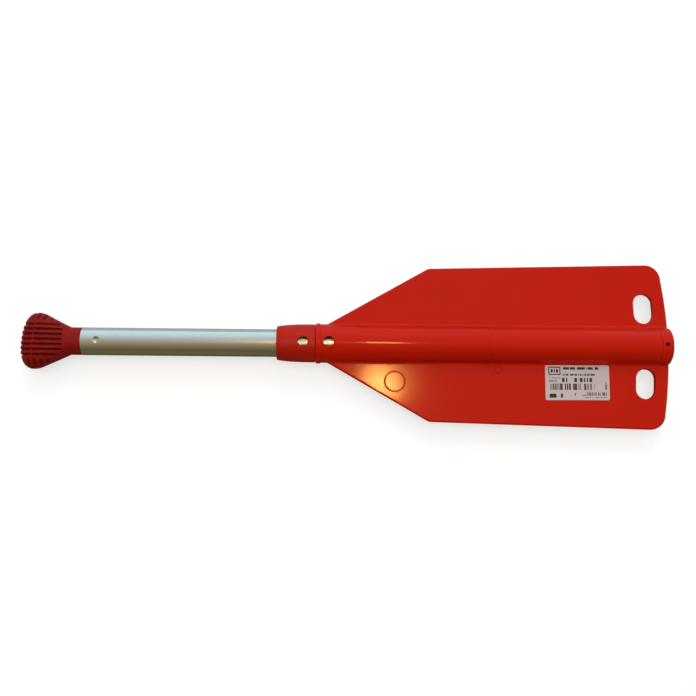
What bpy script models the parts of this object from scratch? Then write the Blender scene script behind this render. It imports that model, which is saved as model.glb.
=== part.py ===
"""Telescopic paddle: a moulded blade on a hollow spine, and a ribbed grip on an aluminium tube.

The tube slides and turns in the spine. A sprung button on the tube's guide bush comes up in the lock hole of
the spine or of the neck collar, so the paddle has two long settings and a short one for stowing.

Run it with: blender --background --python part.py
"""

import math

import bmesh
import bpy
from mathutils import Matrix, Vector

MM = 0.001

# Lengths along the shaft are measured from the seam between the collar and the blade, positive towards the
# blade's tip. The shaft's axis is the line Y = 0, Z = 0 of the same frame, and +Z is the face with the holes.

# Fits and clearances
SEAT_GAP = 0.3 * MM  # between pieces that touch
SLIDE_CLEARANCE = 0.3 * MM  # on the radius, between pieces that slide or turn

# Shaft tube
TUBE_OUTER_DIAMETER = 28.0 * MM
TUBE_WALL = 1.5 * MM
TUBE_EDGE_BREAK = 0.3 * MM
TUBE_SHOWING_LENGTH = 195.0 * MM  # between grip and collar when the paddle is stowed

# Stakes: dimples punched through the tube's wall into the plugs
STAKE_MOUTH_DIAMETER = 7.0 * MM
STAKE_FLOOR_DIAMETER = 2.0 * MM
STAKE_DEPTH = 3.0 * MM
STAKE_SKIN = 0.9 * MM  # the tube's wall where the punch has stretched it
STAKE_FROM_TUBE_END = 16.1 * MM

# Blade, in plan
BLADE_SHOULDER_HALF_WIDTH = 78.4 * MM
BLADE_SHOULDER_X = 114.6 * MM
BLADE_TIP_HALF_WIDTH = 84.9 * MM
BLADE_TIP_CORNER_X = 351.0 * MM
BLADE_END_ARC_RADIUS = 450.0 * MM
BLADE_FLARE_START_X = 12.0 * MM
SHOULDER_CORNER_RADIUS = 9.0 * MM
TIP_CORNER_RADIUS = 16.0 * MM

# Blade, in section
BLADE_ROOT_THICKNESS = 7.0 * MM
BLADE_EDGE_THICKNESS = 4.4 * MM
BLADE_EDGE_ROUNDING = 1.8 * MM
SPINE_OUTER_DIAMETER = 38.1 * MM
SPINE_BORE_DIAMETER = 33.0 * MM
SPINE_FILLET_RADIUS = 4.0 * MM
FILLET_START_SHARE = 0.2  # of the full radius, where the web begins in the flare
WEB_SINK_SHARE = 0.96  # of the web's meeting point with the spine, where its hidden edge lies
WEB_ROOT_SHARE = 0.6  # of the spine's radius, how deep the web is rooted in it
SPINE_END_X = 347.0 * MM

# Mouth of the spine
NECK_DIAMETER = 39.2 * MM
NECK_BLEND_END_X = 22.0 * MM
MOUTH_BEAD_DIAMETER = 40.8 * MM
MOUTH_BEAD_START_X = 0.5 * MM
MOUTH_BEAD_WIDTH = 4.6 * MM
MOUTH_BEAD_FULLNESS = 1.3  # 1 is an even arch, more has a flatter crown

# Neck collar
COLLAR_LENGTH = 38.9 * MM
COLLAR_MAX_DIAMETER = 38.5 * MM
COLLAR_END_DIAMETER = 34.2 * MM
COLLAR_BARREL_POWER = 3.0
COLLAR_EDGE_RADIUS = 1.2 * MM
COLLAR_SEAM_CHAMFER = 0.4 * MM
COLLAR_SPIGOT_LENGTH = 7.2 * MM
COLLAR_SPIGOT_WALL = 1.5 * MM
SNAP_RIB_HEIGHT = 0.5 * MM
SNAP_RIB_WIDTH = 1.8 * MM
SNAP_RIB_X = 3.0 * MM
COLLAR_LEAD_IN = 0.8 * MM

# Lock holes
LOCK_HOLE_DIAMETER = 10.0 * MM
LOCK_HOLE_RIM = 0.9 * MM
COLLAR_LOCK_X = -12.2 * MM
BLADE_LOCK_X = 13.6 * MM
BOSS_DIAMETER = 15.0 * MM
BOSS_HEIGHT = 0.55 * MM

# Hand slots near the blade's end
SLOT_CENTRE_X = 334.3 * MM
SLOT_CENTRE_Y = 38.5 * MM
SLOT_WIDTH = 19.4 * MM
SLOT_LENGTH = 30.4 * MM
SLOT_LEAN_DEG = 2.6
SLOT_RIM_RADIUS = 1.1 * MM

# Round moulding marks on the blade's face
MEDALLION_X = 80.2 * MM
MEDALLION_Y = -38.0 * MM
MEDALLION_DIAMETER = 22.0 * MM
MEDALLION_RIB_WIDTH = 1.7 * MM
GATE_MARK_X = 185.0 * MM
GATE_MARK_Y = -24.7 * MM
GATE_MARK_DIAMETER = 8.6 * MM
GATE_MARK_RIB_WIDTH = 1.2 * MM
MARK_HEIGHT = 0.4 * MM
MARK_SLOPE_SHARE = 0.3  # of a rib's width, on each side of its crown

# Tip plug
PLUG_DOME_START_X = 357.2 * MM
PLUG_END_X = 360.4 * MM
PLUG_DOME_POWER = 3.0
PLUG_SPIGOT_LENGTH = 12.0 * MM
PLUG_WALL = 3.2 * MM
DRAIN_DIAMETER = 4.0 * MM
DRAIN_X = 352.0 * MM

# Guide bush, friction ring, button and spring
BUSH_PISTON_LENGTH = 28.0 * MM
BUSH_SPIGOT_LENGTH = 32.0 * MM
BUSH_NOSE_CHAMFER = 1.5 * MM
BUTTON_FROM_BUSH_FACE = 9.0 * MM
RING_FROM_BUSH_FACE = 21.5 * MM
RING_SECTION_DIAMETER = 2.8 * MM
RING_INNER_DIAMETER = 26.8 * MM
BUTTON_HEAD_DIAMETER = 9.4 * MM
BUTTON_HEAD_HEIGHT = 4.4 * MM
BUTTON_CROWN_RADIUS = 14.0 * MM
BUTTON_FLANGE_DIAMETER = 12.0 * MM
BUTTON_FLANGE_THICKNESS = 2.5 * MM
BUTTON_WELL_FLOOR_Z = -8.0 * MM
SPRING_MEAN_DIAMETER = 7.2 * MM
SPRING_WIRE_DIAMETER = 0.9 * MM
SPRING_TURNS = 6

# Grip
GRIP_NECK_DIAMETER = 27.8 * MM
GRIP_NECK_LENGTH = 11.75 * MM
GRIP_HALF_WIDTH = 28.35 * MM
GRIP_HALF_THICKNESS = 15.5 * MM
GRIP_END_DEPTH = 14.8 * MM
GRIP_END_POWER = 2.3
GRIP_SHOULDER_RADIUS = 18.0 * MM
GRIP_TAPER_DEG = 25.6
GRIP_FACE_POWER = 2.9
FACE_GROOVES = 7
FACE_GROOVE_PITCH = 5.14 * MM
FACE_GROOVE_WIDTH = 2.3 * MM
FACE_GROOVE_DEPTH = 1.4 * MM
FACE_GROOVE_LENGTH = 44.3 * MM
OUTER_FACE_GROOVE_LENGTH = 39.8 * MM
SIDE_GROOVES = 4
SIDE_GROOVE_START = 8.2 * MM
SIDE_GROOVE_PITCH = 5.75 * MM
SIDE_GROOVE_WIDTH = 2.0 * MM
SIDE_GROOVE_DEPTH = 1.1 * MM
SIDE_GROOVE_FROM_Y = 19.4 * MM
GROOVE_FLOOR_SHARE = 0.56  # of the groove's width
GROOVE_SIDE_SHARE = 0.22  # of the groove's width, on each side

# Grip core and float plug
CORE_SPIGOT_LENGTH = 36.0 * MM
CORE_STEM_DIAMETER = 21.0 * MM
CORE_STEM_LENGTH = 44.0 * MM
CORE_TIP_CHAMFER = 3.0 * MM
CORE_KEY_DEPTH = 1.5 * MM
CORE_KEY_WIDTH = 4.0 * MM
CORE_KEYS = 2
SPIGOT_LEAD_IN = 1.0 * MM
FLOAT_PLUG_LENGTH = 130.0 * MM
FLOAT_PLUG_CHAMFER = 0.8 * MM

# How far a shape runs past the face that trims it
TRIM_OVERRUN = 3.0 * MM

# Facets
ROUND_STEPS = 40
GRIP_STEPS = 36
PLUG_STEPS = 28
SMALL_ROUND_STEPS = 24
SMOOTH_ANGLE_DEG = 32.0
EMPTY_SIZE = 10.0 * MM

# Radii and places that follow from the sizes above
TUBE_RADIUS = TUBE_OUTER_DIAMETER / 2
TUBE_BORE_RADIUS = TUBE_RADIUS - TUBE_WALL
PLUG_IN_TUBE_RADIUS = TUBE_BORE_RADIUS - SLIDE_CLEARANCE
SPINE_RADIUS = SPINE_OUTER_DIAMETER / 2
SPINE_BORE_RADIUS = SPINE_BORE_DIAMETER / 2
PISTON_RADIUS = SPINE_BORE_RADIUS - SLIDE_CLEARANCE
COLLAR_LAND_RADIUS = TUBE_RADIUS + SLIDE_CLEARANCE
SPIGOT_RADIUS = SPINE_BORE_RADIUS + COLLAR_SPIGOT_WALL
MOUTH_SOCKET_RADIUS = SPIGOT_RADIUS + SEAT_GAP
BLADE_ROOT_HALF = BLADE_ROOT_THICKNESS / 2

TUBE_TOP_X = -COLLAR_LENGTH - TUBE_SHOWING_LENGTH
GRIP_LOW_X = TUBE_TOP_X - SEAT_GAP
PLUG_INNER_X = SPINE_END_X + SEAT_GAP - PLUG_SPIGOT_LENGTH
BUSH_NOSE_X = PLUG_INNER_X - SEAT_GAP
BUSH_FACE_X = BUSH_NOSE_X - BUSH_PISTON_LENGTH
TUBE_LOW_X = BUSH_FACE_X - SEAT_GAP
BUTTON_X = BUSH_FACE_X + BUTTON_FROM_BUSH_FACE
RING_X = BUSH_FACE_X + RING_FROM_BUSH_FACE
TELESCOPE_TRAVEL = BUTTON_X - COLLAR_LOCK_X
COLLAR_SHOULDER_X = BUSH_FACE_X - TELESCOPE_TRAVEL - SEAT_GAP
BUTTON_TOP_Z = PISTON_RADIUS
BUTTON_FLANGE_TOP_Z = BUTTON_TOP_Z - BUTTON_HEAD_HEIGHT
BUTTON_FLANGE_LOW_Z = BUTTON_FLANGE_TOP_Z - BUTTON_FLANGE_THICKNESS

GRIP_TAPER = math.radians(GRIP_TAPER_DEG)
GRIP_ARC_END = GRIP_END_DEPTH + GRIP_SHOULDER_RADIUS * math.sin(GRIP_TAPER)
GRIP_ARC_END_HALF = GRIP_HALF_WIDTH - GRIP_SHOULDER_RADIUS * (1 - math.cos(GRIP_TAPER))
GRIP_TAPER_END = GRIP_ARC_END + (GRIP_ARC_END_HALF - GRIP_NECK_DIAMETER / 2) / math.tan(GRIP_TAPER)
GRIP_LENGTH = GRIP_TAPER_END + GRIP_NECK_LENGTH
GRIP_END_X = GRIP_LOW_X - GRIP_LENGTH

# The part's frame stands on the lowest point of the mouth bead, half way along the stowed paddle.
SEAM_X = -(PLUG_END_X + GRIP_END_X) / 2
AXIS_HEIGHT = MOUTH_BEAD_DIAMETER / 2


def clear_scene():
    """Remove every object that the file opened with."""
    for thing in list(bpy.data.objects):
        bpy.data.objects.remove(thing, do_unlink=True)


def make_material(name, colour, roughness, metallic=0.0):
    """A Principled material of one colour."""
    material = bpy.data.materials.new(name)
    material.use_nodes = True
    shader = material.node_tree.nodes["Principled BSDF"]
    shader.inputs["Base Color"].default_value = (*colour, 1.0)
    shader.inputs["Roughness"].default_value = roughness
    shader.inputs["Metallic"].default_value = metallic
    material.diffuse_color = (*colour, 1.0)
    return material


def make_empty(name, location, parent=None):
    """An empty that carries pieces and marks a joint's axis."""
    empty = bpy.data.objects.new(name, None)
    bpy.context.scene.collection.objects.link(empty)
    empty.empty_display_size = EMPTY_SIZE
    empty.parent = parent
    empty.location = location
    return empty


def add_object(name, bm, parent, material=None):
    """Turn a bmesh into a shaded object under its parent."""
    bmesh.ops.recalc_face_normals(bm, faces=bm.faces[:])
    mesh = bpy.data.meshes.new(name)
    bm.to_mesh(mesh)
    bm.free()
    mesh.shade_smooth()
    mesh.set_sharp_from_angle(angle=math.radians(SMOOTH_ANGLE_DEG))
    thing = bpy.data.objects.new(name, mesh)
    bpy.context.scene.collection.objects.link(thing)
    thing.parent = parent
    if material:
        mesh.materials.append(material)
    return thing


def hide_tool(thing):
    """Mark an object that only shapes another one."""
    thing.hide_render = True
    thing.display_type = "WIRE"
    return thing


def shape_with(target, tool, operation="DIFFERENCE", solver="EXACT"):
    """Add a Boolean modifier."""
    modifier = target.modifiers.new(f"{operation.lower()}_{tool.name}", "BOOLEAN")
    modifier.operation = operation
    modifier.solver = solver
    modifier.object = tool
    return modifier


def turned(profile, steps=ROUND_STEPS, axis="X"):
    """Spin a closed outline of (along, radius) points about an axis."""
    bm = bmesh.new()
    if axis == "X":
        corners = [bm.verts.new((along, 0.0, radius)) for along, radius in profile]
        direction = (1, 0, 0)
    else:
        corners = [bm.verts.new((radius, 0.0, along)) for along, radius in profile]
        direction = (0, 0, 1)
    on_axis = [radius < 1e-7 for _, radius in profile]
    edges = []
    for index in range(len(corners)):
        following = (index + 1) % len(corners)
        if on_axis[index] and on_axis[following]:
            continue
        edges.append(bm.edges.new((corners[index], corners[following])))
    bmesh.ops.spin(
        bm, geom=corners + edges, cent=(0, 0, 0), axis=direction, angle=2 * math.pi, steps=steps
    )
    bmesh.ops.remove_doubles(bm, verts=bm.verts[:], dist=1e-6)
    bmesh.ops.dissolve_degenerate(bm, edges=bm.edges[:], dist=1e-7)
    return bm


def lofted(rings):
    """Skin equal rings of points in order, and close both ends."""
    bm = bmesh.new()
    loops = [[bm.verts.new(point) for point in ring] for ring in rings]
    count = len(loops[0])
    for low, high in zip(loops, loops[1:]):
        for index in range(count):
            following = (index + 1) % count
            bm.faces.new((low[index], low[following], high[following], high[index]))
    bm.faces.new(loops[0][::-1])
    bm.faces.new(loops[-1])
    return bm


def merge_shapes(shapes):
    """Put separate closed shapes into one bmesh."""
    whole = bmesh.new()
    for shape in shapes:
        mesh = bpy.data.meshes.new("part_of_tool")
        shape.to_mesh(mesh)
        shape.free()
        whole.from_mesh(mesh)
        bpy.data.meshes.remove(mesh)
    return whole


def arc_points(centre, radius, start, end, steps):
    """Points on an arc, both ends included."""
    points = []
    for step in range(steps + 1):
        angle = start + (end - start) * step / steps
        points.append((centre[0] + radius * math.cos(angle), centre[1] + radius * math.sin(angle)))
    return points


def round_corner(before, corner, after, radius, steps):
    """The arc that rounds a corner between two straight sides."""
    corner = Vector(corner)
    to_before = (Vector(before) - corner).normalized()
    to_after = (Vector(after) - corner).normalized()
    half = to_before.angle(to_after) / 2
    run = radius / math.tan(half)
    start = corner + to_before * run
    middle = corner + (to_before + to_after).normalized() * (radius / math.sin(half))
    sweep = math.pi - 2 * half
    spoke = start - middle
    turn = 1 if to_before.x * to_after.y - to_before.y * to_after.x < 0 else -1
    points = []
    for step in range(steps + 1):
        spun = Matrix.Rotation(turn * sweep * step / steps, 2) @ spoke
        points.append(tuple(middle + spun))
    return points


def cylinder_tool(name, parent, radius, low, high, x, steps=SMALL_ROUND_STEPS):
    """An upright cylinder between two heights."""
    outline = [(low, 0.0), (low, radius), (high, radius), (high, 0.0)]
    bm = turned(outline, steps, axis="Z")
    bmesh.ops.translate(bm, verts=bm.verts[:], vec=(x, 0.0, 0.0))
    return hide_tool(add_object(name, bm, parent))


def lock_hole_tool(name, parent, x, surface_radius):
    """The cutter for a lock hole: a straight hole whose rim opens at the surface."""
    radius = LOCK_HOLE_DIAMETER / 2
    outline = [(TUBE_RADIUS, 0.0), (TUBE_RADIUS, radius), (surface_radius - LOCK_HOLE_RIM, radius)]
    rim_centre = (surface_radius - LOCK_HOLE_RIM, radius + LOCK_HOLE_RIM)
    for along, out in arc_points(rim_centre, LOCK_HOLE_RIM, -math.pi / 2, 0.0, 3)[1:]:
        outline.append((along, out))
    outline.append((surface_radius + LOCK_HOLE_RIM, radius + LOCK_HOLE_RIM))
    outline.append((surface_radius + LOCK_HOLE_RIM, 0.0))
    bm = turned(outline, SMALL_ROUND_STEPS, axis="Z")
    bmesh.ops.translate(bm, verts=bm.verts[:], vec=(x, 0.0, 0.0))
    return hide_tool(add_object(name, bm, parent))


def blade_outline():
    """The blade in plan as (x, y) points, once round, with rounded shoulders and tip corners."""
    inside_spine = SPINE_BORE_RADIUS - BLADE_EDGE_ROUNDING
    neck = (BLADE_FLARE_START_X - (NECK_DIAMETER / 2 - inside_spine) / flare_slope(), inside_spine)
    shoulder = (BLADE_SHOULDER_X, BLADE_SHOULDER_HALF_WIDTH)
    tip = (BLADE_TIP_CORNER_X, BLADE_TIP_HALF_WIDTH)
    sag = BLADE_END_ARC_RADIUS - math.sqrt(BLADE_END_ARC_RADIUS**2 - BLADE_TIP_HALF_WIDTH**2)
    middle_x = BLADE_TIP_CORNER_X + sag
    arc_centre_x = middle_x - BLADE_END_ARC_RADIUS
    side = [neck]
    side += round_corner(neck, shoulder, tip, SHOULDER_CORNER_RADIUS, 4)
    slope = math.asin(BLADE_TIP_HALF_WIDTH / BLADE_END_ARC_RADIUS)
    inward = (tip[0] + math.sin(slope), tip[1] - math.cos(slope))
    side += round_corner(shoulder, tip, inward, TIP_CORNER_RADIUS, 7)
    last_y = side[-1][1]
    end_steps = 5
    for step in range(1, end_steps + 1):
        y = last_y * (1 - step / end_steps)
        side.append((arc_centre_x + math.sqrt(BLADE_END_ARC_RADIUS**2 - y * y), y))
    other_side = [(x, -y) for x, y in side[-2::-1]]
    return side + other_side


def blade_plate():
    """The flat of the blade: thick at the spine, thin at a rounded edge."""
    bm = bmesh.new()
    half = BLADE_EDGE_THICKNESS / 2
    floor = bm.faces.new([bm.verts.new((x, y, -half)) for x, y in blade_outline()])
    grown = bmesh.ops.extrude_face_region(bm, geom=[floor])
    lifted = [item for item in grown["geom"] if isinstance(item, bmesh.types.BMVert)]
    bmesh.ops.translate(bm, verts=lifted, vec=(0, 0, 2 * half))
    rim = [edge for edge in bm.edges if abs(edge.verts[0].co.z - edge.verts[1].co.z) < 1e-7]
    bmesh.ops.bevel(
        bm, geom=rim, offset=BLADE_EDGE_ROUNDING, offset_type="OFFSET", segments=3, profile=0.5,
        affect="EDGES", clamp_overlap=True,
    )
    for y in (-SPINE_RADIUS, SPINE_RADIUS):
        bmesh.ops.bisect_plane(
            bm, geom=bm.verts[:] + bm.edges[:] + bm.faces[:], plane_co=(0, y, 0), plane_no=(0, 1, 0)
        )
    for vertex in bm.verts:
        vertex.co.z *= plate_half_thickness(abs(vertex.co.y)) / half
    return bm


def plate_half_thickness(y):
    """Half the plate's thickness at a distance from the axis: it tapers evenly from spine to edge."""
    share = max(0.0, y - SPINE_RADIUS) / (BLADE_TIP_HALF_WIDTH - SPINE_RADIUS)
    return BLADE_ROOT_HALF + (BLADE_EDGE_THICKNESS / 2 - BLADE_ROOT_HALF) * share


def flare_slope():
    """How fast the blade widens along its flare."""
    return (BLADE_SHOULDER_HALF_WIDTH - NECK_DIAMETER / 2) / (BLADE_SHOULDER_X - BLADE_FLARE_START_X)


def flare_half_width(x):
    """The blade's half-width along its flare."""
    return NECK_DIAMETER / 2 + (x - BLADE_FLARE_START_X) * flare_slope()


def fillet_section(x, radius, side):
    """One section of the web that rounds the corner between spine and plate, above and below."""
    centre_z = BLADE_ROOT_HALF + radius
    centre_y = math.sqrt((SPINE_RADIUS + radius) ** 2 - centre_z**2)
    on_spine = math.atan2(-centre_z, -centre_y)
    upper = arc_points((centre_y, centre_z), radius, -math.pi / 2, on_spine, 4)
    touch_y, touch_z = upper[-1]
    sunk = (WEB_SINK_SHARE * touch_y, WEB_SINK_SHARE * touch_z)
    inside = (WEB_ROOT_SHARE * SPINE_RADIUS, touch_z / 2)
    half = [(upper[0][0], BLADE_ROOT_HALF / 2)] + upper + [sunk, inside]
    ring = half + [(y, -z) for y, z in half[::-1]]
    return [(x, side * y, z) for y, z in ring]


def spine_fillets(side):
    """The web along one side of the spine. Its radius grows with the flare until it reaches its full size."""
    rings = []
    core = SPINE_RADIUS**2 - BLADE_ROOT_HALF**2
    reach_full = math.sqrt(core + 2 * SPINE_FILLET_RADIUS * (SPINE_RADIUS - BLADE_ROOT_HALF))
    slope = flare_slope()
    full_x = BLADE_FLARE_START_X + (reach_full + BLADE_EDGE_ROUNDING - NECK_DIAMETER / 2) / slope
    first_radius = FILLET_START_SHARE * SPINE_FILLET_RADIUS
    first_reach = math.sqrt(core + 2 * first_radius * (SPINE_RADIUS - BLADE_ROOT_HALF))
    first_x = BLADE_FLARE_START_X + (first_reach + BLADE_EDGE_ROUNDING - NECK_DIAMETER / 2) / slope
    for step in range(4):
        x = first_x + (full_x - first_x) * step / 3
        reach = flare_half_width(x) - BLADE_EDGE_ROUNDING
        radius = (reach**2 - core) / (2 * (SPINE_RADIUS - BLADE_ROOT_HALF))
        rings.append(fillet_section(x, radius, side))
    rings.append(fillet_section(BLADE_TIP_CORNER_X + BLADE_EDGE_THICKNESS, SPINE_FILLET_RADIUS, side))
    return lofted(rings)


def spine_body():
    """The outside of the spine: mouth bead, neck and barrel, as one solid bar."""
    neck = NECK_DIAMETER / 2
    bead = MOUTH_BEAD_DIAMETER / 2
    start = SEAT_GAP / 2
    bead_end = MOUTH_BEAD_START_X + MOUTH_BEAD_WIDTH
    round_off = (bead - neck) / 2
    profile = [(start, 0.0), (start, neck - round_off), (MOUTH_BEAD_START_X, neck)]
    bead_run = bead_end - MOUTH_BEAD_START_X
    for step in range(1, 6):
        angle = math.pi * step / 6
        along = MOUTH_BEAD_START_X + bead_run * (1 - math.cos(angle)) / 2
        profile.append((along, neck + (bead - neck) * min(1.0, MOUTH_BEAD_FULLNESS * math.sin(angle))))
    profile.append((bead_end, neck))
    profile.append((BLADE_FLARE_START_X, neck))
    profile.append((NECK_BLEND_END_X, SPINE_RADIUS))
    profile.append((SPINE_END_X + TRIM_OVERRUN, SPINE_RADIUS))
    profile.append((SPINE_END_X + TRIM_OVERRUN, 0.0))
    return turned(profile)


def spine_bore():
    """The cutter for the spine's bore: the collar's socket and snap groove, the bore and the plug's bay."""
    bay_radius = SPINE_RADIUS + SEAT_GAP
    bay_end = PLUG_END_X + TRIM_OVERRUN
    socket_end = COLLAR_SPIGOT_LENGTH + SEAT_GAP
    groove = MOUTH_SOCKET_RADIUS + SNAP_RIB_HEIGHT
    half_rib = SNAP_RIB_WIDTH / 2 + SEAT_GAP
    profile = [
        (-TRIM_OVERRUN, 0.0),
        (-TRIM_OVERRUN, MOUTH_SOCKET_RADIUS),
        (SNAP_RIB_X - half_rib - SNAP_RIB_HEIGHT, MOUTH_SOCKET_RADIUS),
        (SNAP_RIB_X - half_rib, groove),
        (SNAP_RIB_X + half_rib, groove),
        (SNAP_RIB_X + half_rib + SNAP_RIB_HEIGHT, MOUTH_SOCKET_RADIUS),
        (socket_end, MOUTH_SOCKET_RADIUS),
        (socket_end, SPINE_BORE_RADIUS),
        (SPINE_END_X, SPINE_BORE_RADIUS),
        (SPINE_END_X, bay_radius),
        (bay_end, bay_radius),
        (bay_end, 0.0),
    ]
    return turned(profile)


def slot_ring(offset, z, side, steps=7):
    """A round-ended slot outline at one height, grown by an offset."""
    radius = SLOT_WIDTH / 2 + offset
    reach = (SLOT_LENGTH - SLOT_WIDTH) / 2
    outline = arc_points((0.0, reach), radius, 0.0, math.pi, steps)
    outline += arc_points((0.0, -reach), radius, math.pi, 2 * math.pi, steps)
    lean = Matrix.Rotation(side * math.radians(SLOT_LEAN_DEG), 2)
    ring = []
    for point in outline:
        x, y = lean @ Vector(point)
        ring.append((SLOT_CENTRE_X + x, side * SLOT_CENTRE_Y + y, z))
    return ring


def slot_cutter(side):
    """A slot's cutter, which opens towards both faces so that the rim comes out rounded."""
    face = plate_half_thickness(SLOT_CENTRE_Y)
    rim = SLOT_RIM_RADIUS
    upper = []
    for along, out in arc_points((face - rim, rim), rim, -math.pi / 2, 0.0, 2):
        upper.append((along, out))
    upper.append((face + TRIM_OVERRUN, rim))
    levels = [(-along, out) for along, out in upper[::-1]] + upper
    return lofted([slot_ring(out, along, side) for along, out in levels])


def raised_ring(x, y, diameter, rib_width, surface, steps=24):
    """A low round rib on the blade's face, bevelled at its crown."""
    outer = diameter / 2
    inner = outer - rib_width
    slope = MARK_SLOPE_SHARE * rib_width
    sunk = surface - MARK_HEIGHT
    top = surface + MARK_HEIGHT
    profile = [(sunk, inner), (sunk, outer), (surface, outer), (top, outer - slope), (top, inner + slope),
               (surface, inner)]
    bm = turned(profile, steps, axis="Z")
    bmesh.ops.translate(bm, verts=bm.verts[:], vec=(x, y, 0.0))
    return bm


def make_blade(frame, material):
    """The blade: plate, spine, webs and boss in one moulding, then its bore, lock hole, slots and plug bay."""
    blade = add_object("blade", blade_plate(), frame, material)
    shape_with(blade, hide_tool(add_object("spine_body_tool", spine_body(), frame)), "UNION")
    for side, word in ((1, "left"), (-1, "right")):
        fillets = hide_tool(add_object(f"spine_fillet_{word}_tool", spine_fillets(side), frame))
        shape_with(blade, fillets, "UNION")

    boss_radius = NECK_DIAMETER / 2 + BOSS_HEIGHT
    boss = cylinder_tool(
        "boss_tool", frame, BOSS_DIAMETER / 2, SPINE_BORE_RADIUS, boss_radius + TRIM_OVERRUN, BLADE_LOCK_X
    )
    limit_low = BLADE_LOCK_X - BOSS_DIAMETER
    limit_high = BLADE_LOCK_X + BOSS_DIAMETER
    limit_profile = [(limit_low, 0.0), (limit_low, boss_radius), (limit_high, boss_radius), (limit_high, 0.0)]
    limit = hide_tool(add_object("boss_limit_tool", turned(limit_profile), frame))
    shape_with(boss, limit, "INTERSECT")
    shape_with(blade, boss, "UNION")

    marks = merge_shapes([
        raised_ring(MEDALLION_X, MEDALLION_Y, MEDALLION_DIAMETER, MEDALLION_RIB_WIDTH,
                    plate_half_thickness(abs(MEDALLION_Y))),
        raised_ring(GATE_MARK_X, GATE_MARK_Y, GATE_MARK_DIAMETER, GATE_MARK_RIB_WIDTH,
                    plate_half_thickness(abs(GATE_MARK_Y))),
    ])
    shape_with(blade, hide_tool(add_object("mould_marks_tool", marks, frame)), "UNION")

    # The exact solver drops faces at the mouth's thin rim, so these three cuts use the manifold one.
    bore = hide_tool(add_object("spine_bore_tool", spine_bore(), frame))
    shape_with(blade, bore, solver="MANIFOLD")
    lock_hole = lock_hole_tool("blade_lock_hole_tool", frame, BLADE_LOCK_X, boss_radius)
    shape_with(blade, lock_hole, solver="MANIFOLD")
    slots = merge_shapes([slot_cutter(1), slot_cutter(-1)])
    shape_with(blade, hide_tool(add_object("hand_slots_tool", slots, frame)), solver="MANIFOLD")
    return blade


def make_neck_collar(frame, material):
    """The bush in the spine's mouth: a barrel outside, a guide land and the bush's stop shoulder inside."""
    left = -COLLAR_LENGTH
    right = -SEAT_GAP / 2
    most = COLLAR_MAX_DIAMETER / 2
    drop = most - COLLAR_END_DIAMETER / 2
    edge = COLLAR_EDGE_RADIUS
    profile = [(left, COLLAR_LAND_RADIUS + COLLAR_LEAD_IN)]
    rim_radius = most - drop * ((COLLAR_LENGTH - edge) / COLLAR_LENGTH) ** COLLAR_BARREL_POWER
    for x, radius in arc_points((left + edge, rim_radius - edge), edge, math.pi, math.pi / 2, 3):
        profile.append((x, radius))
    steps = 6
    for step in range(1, steps):
        x = (left + edge) * (1 - step / steps)
        profile.append((x, most - drop * (-x / COLLAR_LENGTH) ** COLLAR_BARREL_POWER))
    profile.append((right - COLLAR_SEAM_CHAMFER, most))
    profile.append((right, most - COLLAR_SEAM_CHAMFER))
    half_rib = SNAP_RIB_WIDTH / 2
    profile += [
        (right, SPIGOT_RADIUS),
        (SNAP_RIB_X - half_rib, SPIGOT_RADIUS),
        (SNAP_RIB_X - half_rib + SNAP_RIB_HEIGHT, SPIGOT_RADIUS + SNAP_RIB_HEIGHT),
        (SNAP_RIB_X + half_rib - SNAP_RIB_HEIGHT, SPIGOT_RADIUS + SNAP_RIB_HEIGHT),
        (SNAP_RIB_X + half_rib, SPIGOT_RADIUS),
        (COLLAR_SPIGOT_LENGTH, SPIGOT_RADIUS),
        (COLLAR_SPIGOT_LENGTH, SPINE_BORE_RADIUS),
        (COLLAR_SHOULDER_X, SPINE_BORE_RADIUS),
        (COLLAR_SHOULDER_X, COLLAR_LAND_RADIUS),
        (left + COLLAR_LEAD_IN, COLLAR_LAND_RADIUS),
    ]
    collar = add_object("neck_collar", turned(profile), frame, material)
    hole_surface = most - drop * (-COLLAR_LOCK_X / COLLAR_LENGTH) ** COLLAR_BARREL_POWER
    shape_with(collar, lock_hole_tool("collar_lock_hole_tool", frame, COLLAR_LOCK_X, hole_surface))
    return collar


def make_tip_plug(frame, material):
    """The domed cup that closes the spine's far end, drained by one hole."""
    start = SPINE_END_X + SEAT_GAP
    spigot = SPINE_BORE_RADIUS - SLIDE_CLEARANCE
    cavity = spigot - PLUG_WALL
    cavity_end = PLUG_DOME_START_X - PLUG_WALL / 2
    dome_depth = PLUG_END_X - PLUG_DOME_START_X
    profile = [(PLUG_INNER_X, cavity), (PLUG_INNER_X, spigot), (start, spigot), (start, SPINE_RADIUS)]
    steps = 7
    for step in range(steps):
        angle = math.pi / 2 * step / steps
        along = PLUG_DOME_START_X + dome_depth * math.sin(angle) ** (2 / PLUG_DOME_POWER)
        radius = SPINE_RADIUS * math.cos(angle) ** (2 / PLUG_DOME_POWER)
        profile.append((along, radius))
    profile.append((PLUG_END_X, 0.0))
    profile += [(cavity_end, 0.0), (cavity_end, cavity)]
    plug = add_object("tip_plug", turned(profile), frame, material)
    shape_with(plug, cylinder_tool(
        "drain_hole_tool", frame, DRAIN_DIAMETER / 2, cavity / 2, SPINE_RADIUS + TRIM_OVERRUN, DRAIN_X, 16
    ))
    return plug


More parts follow.
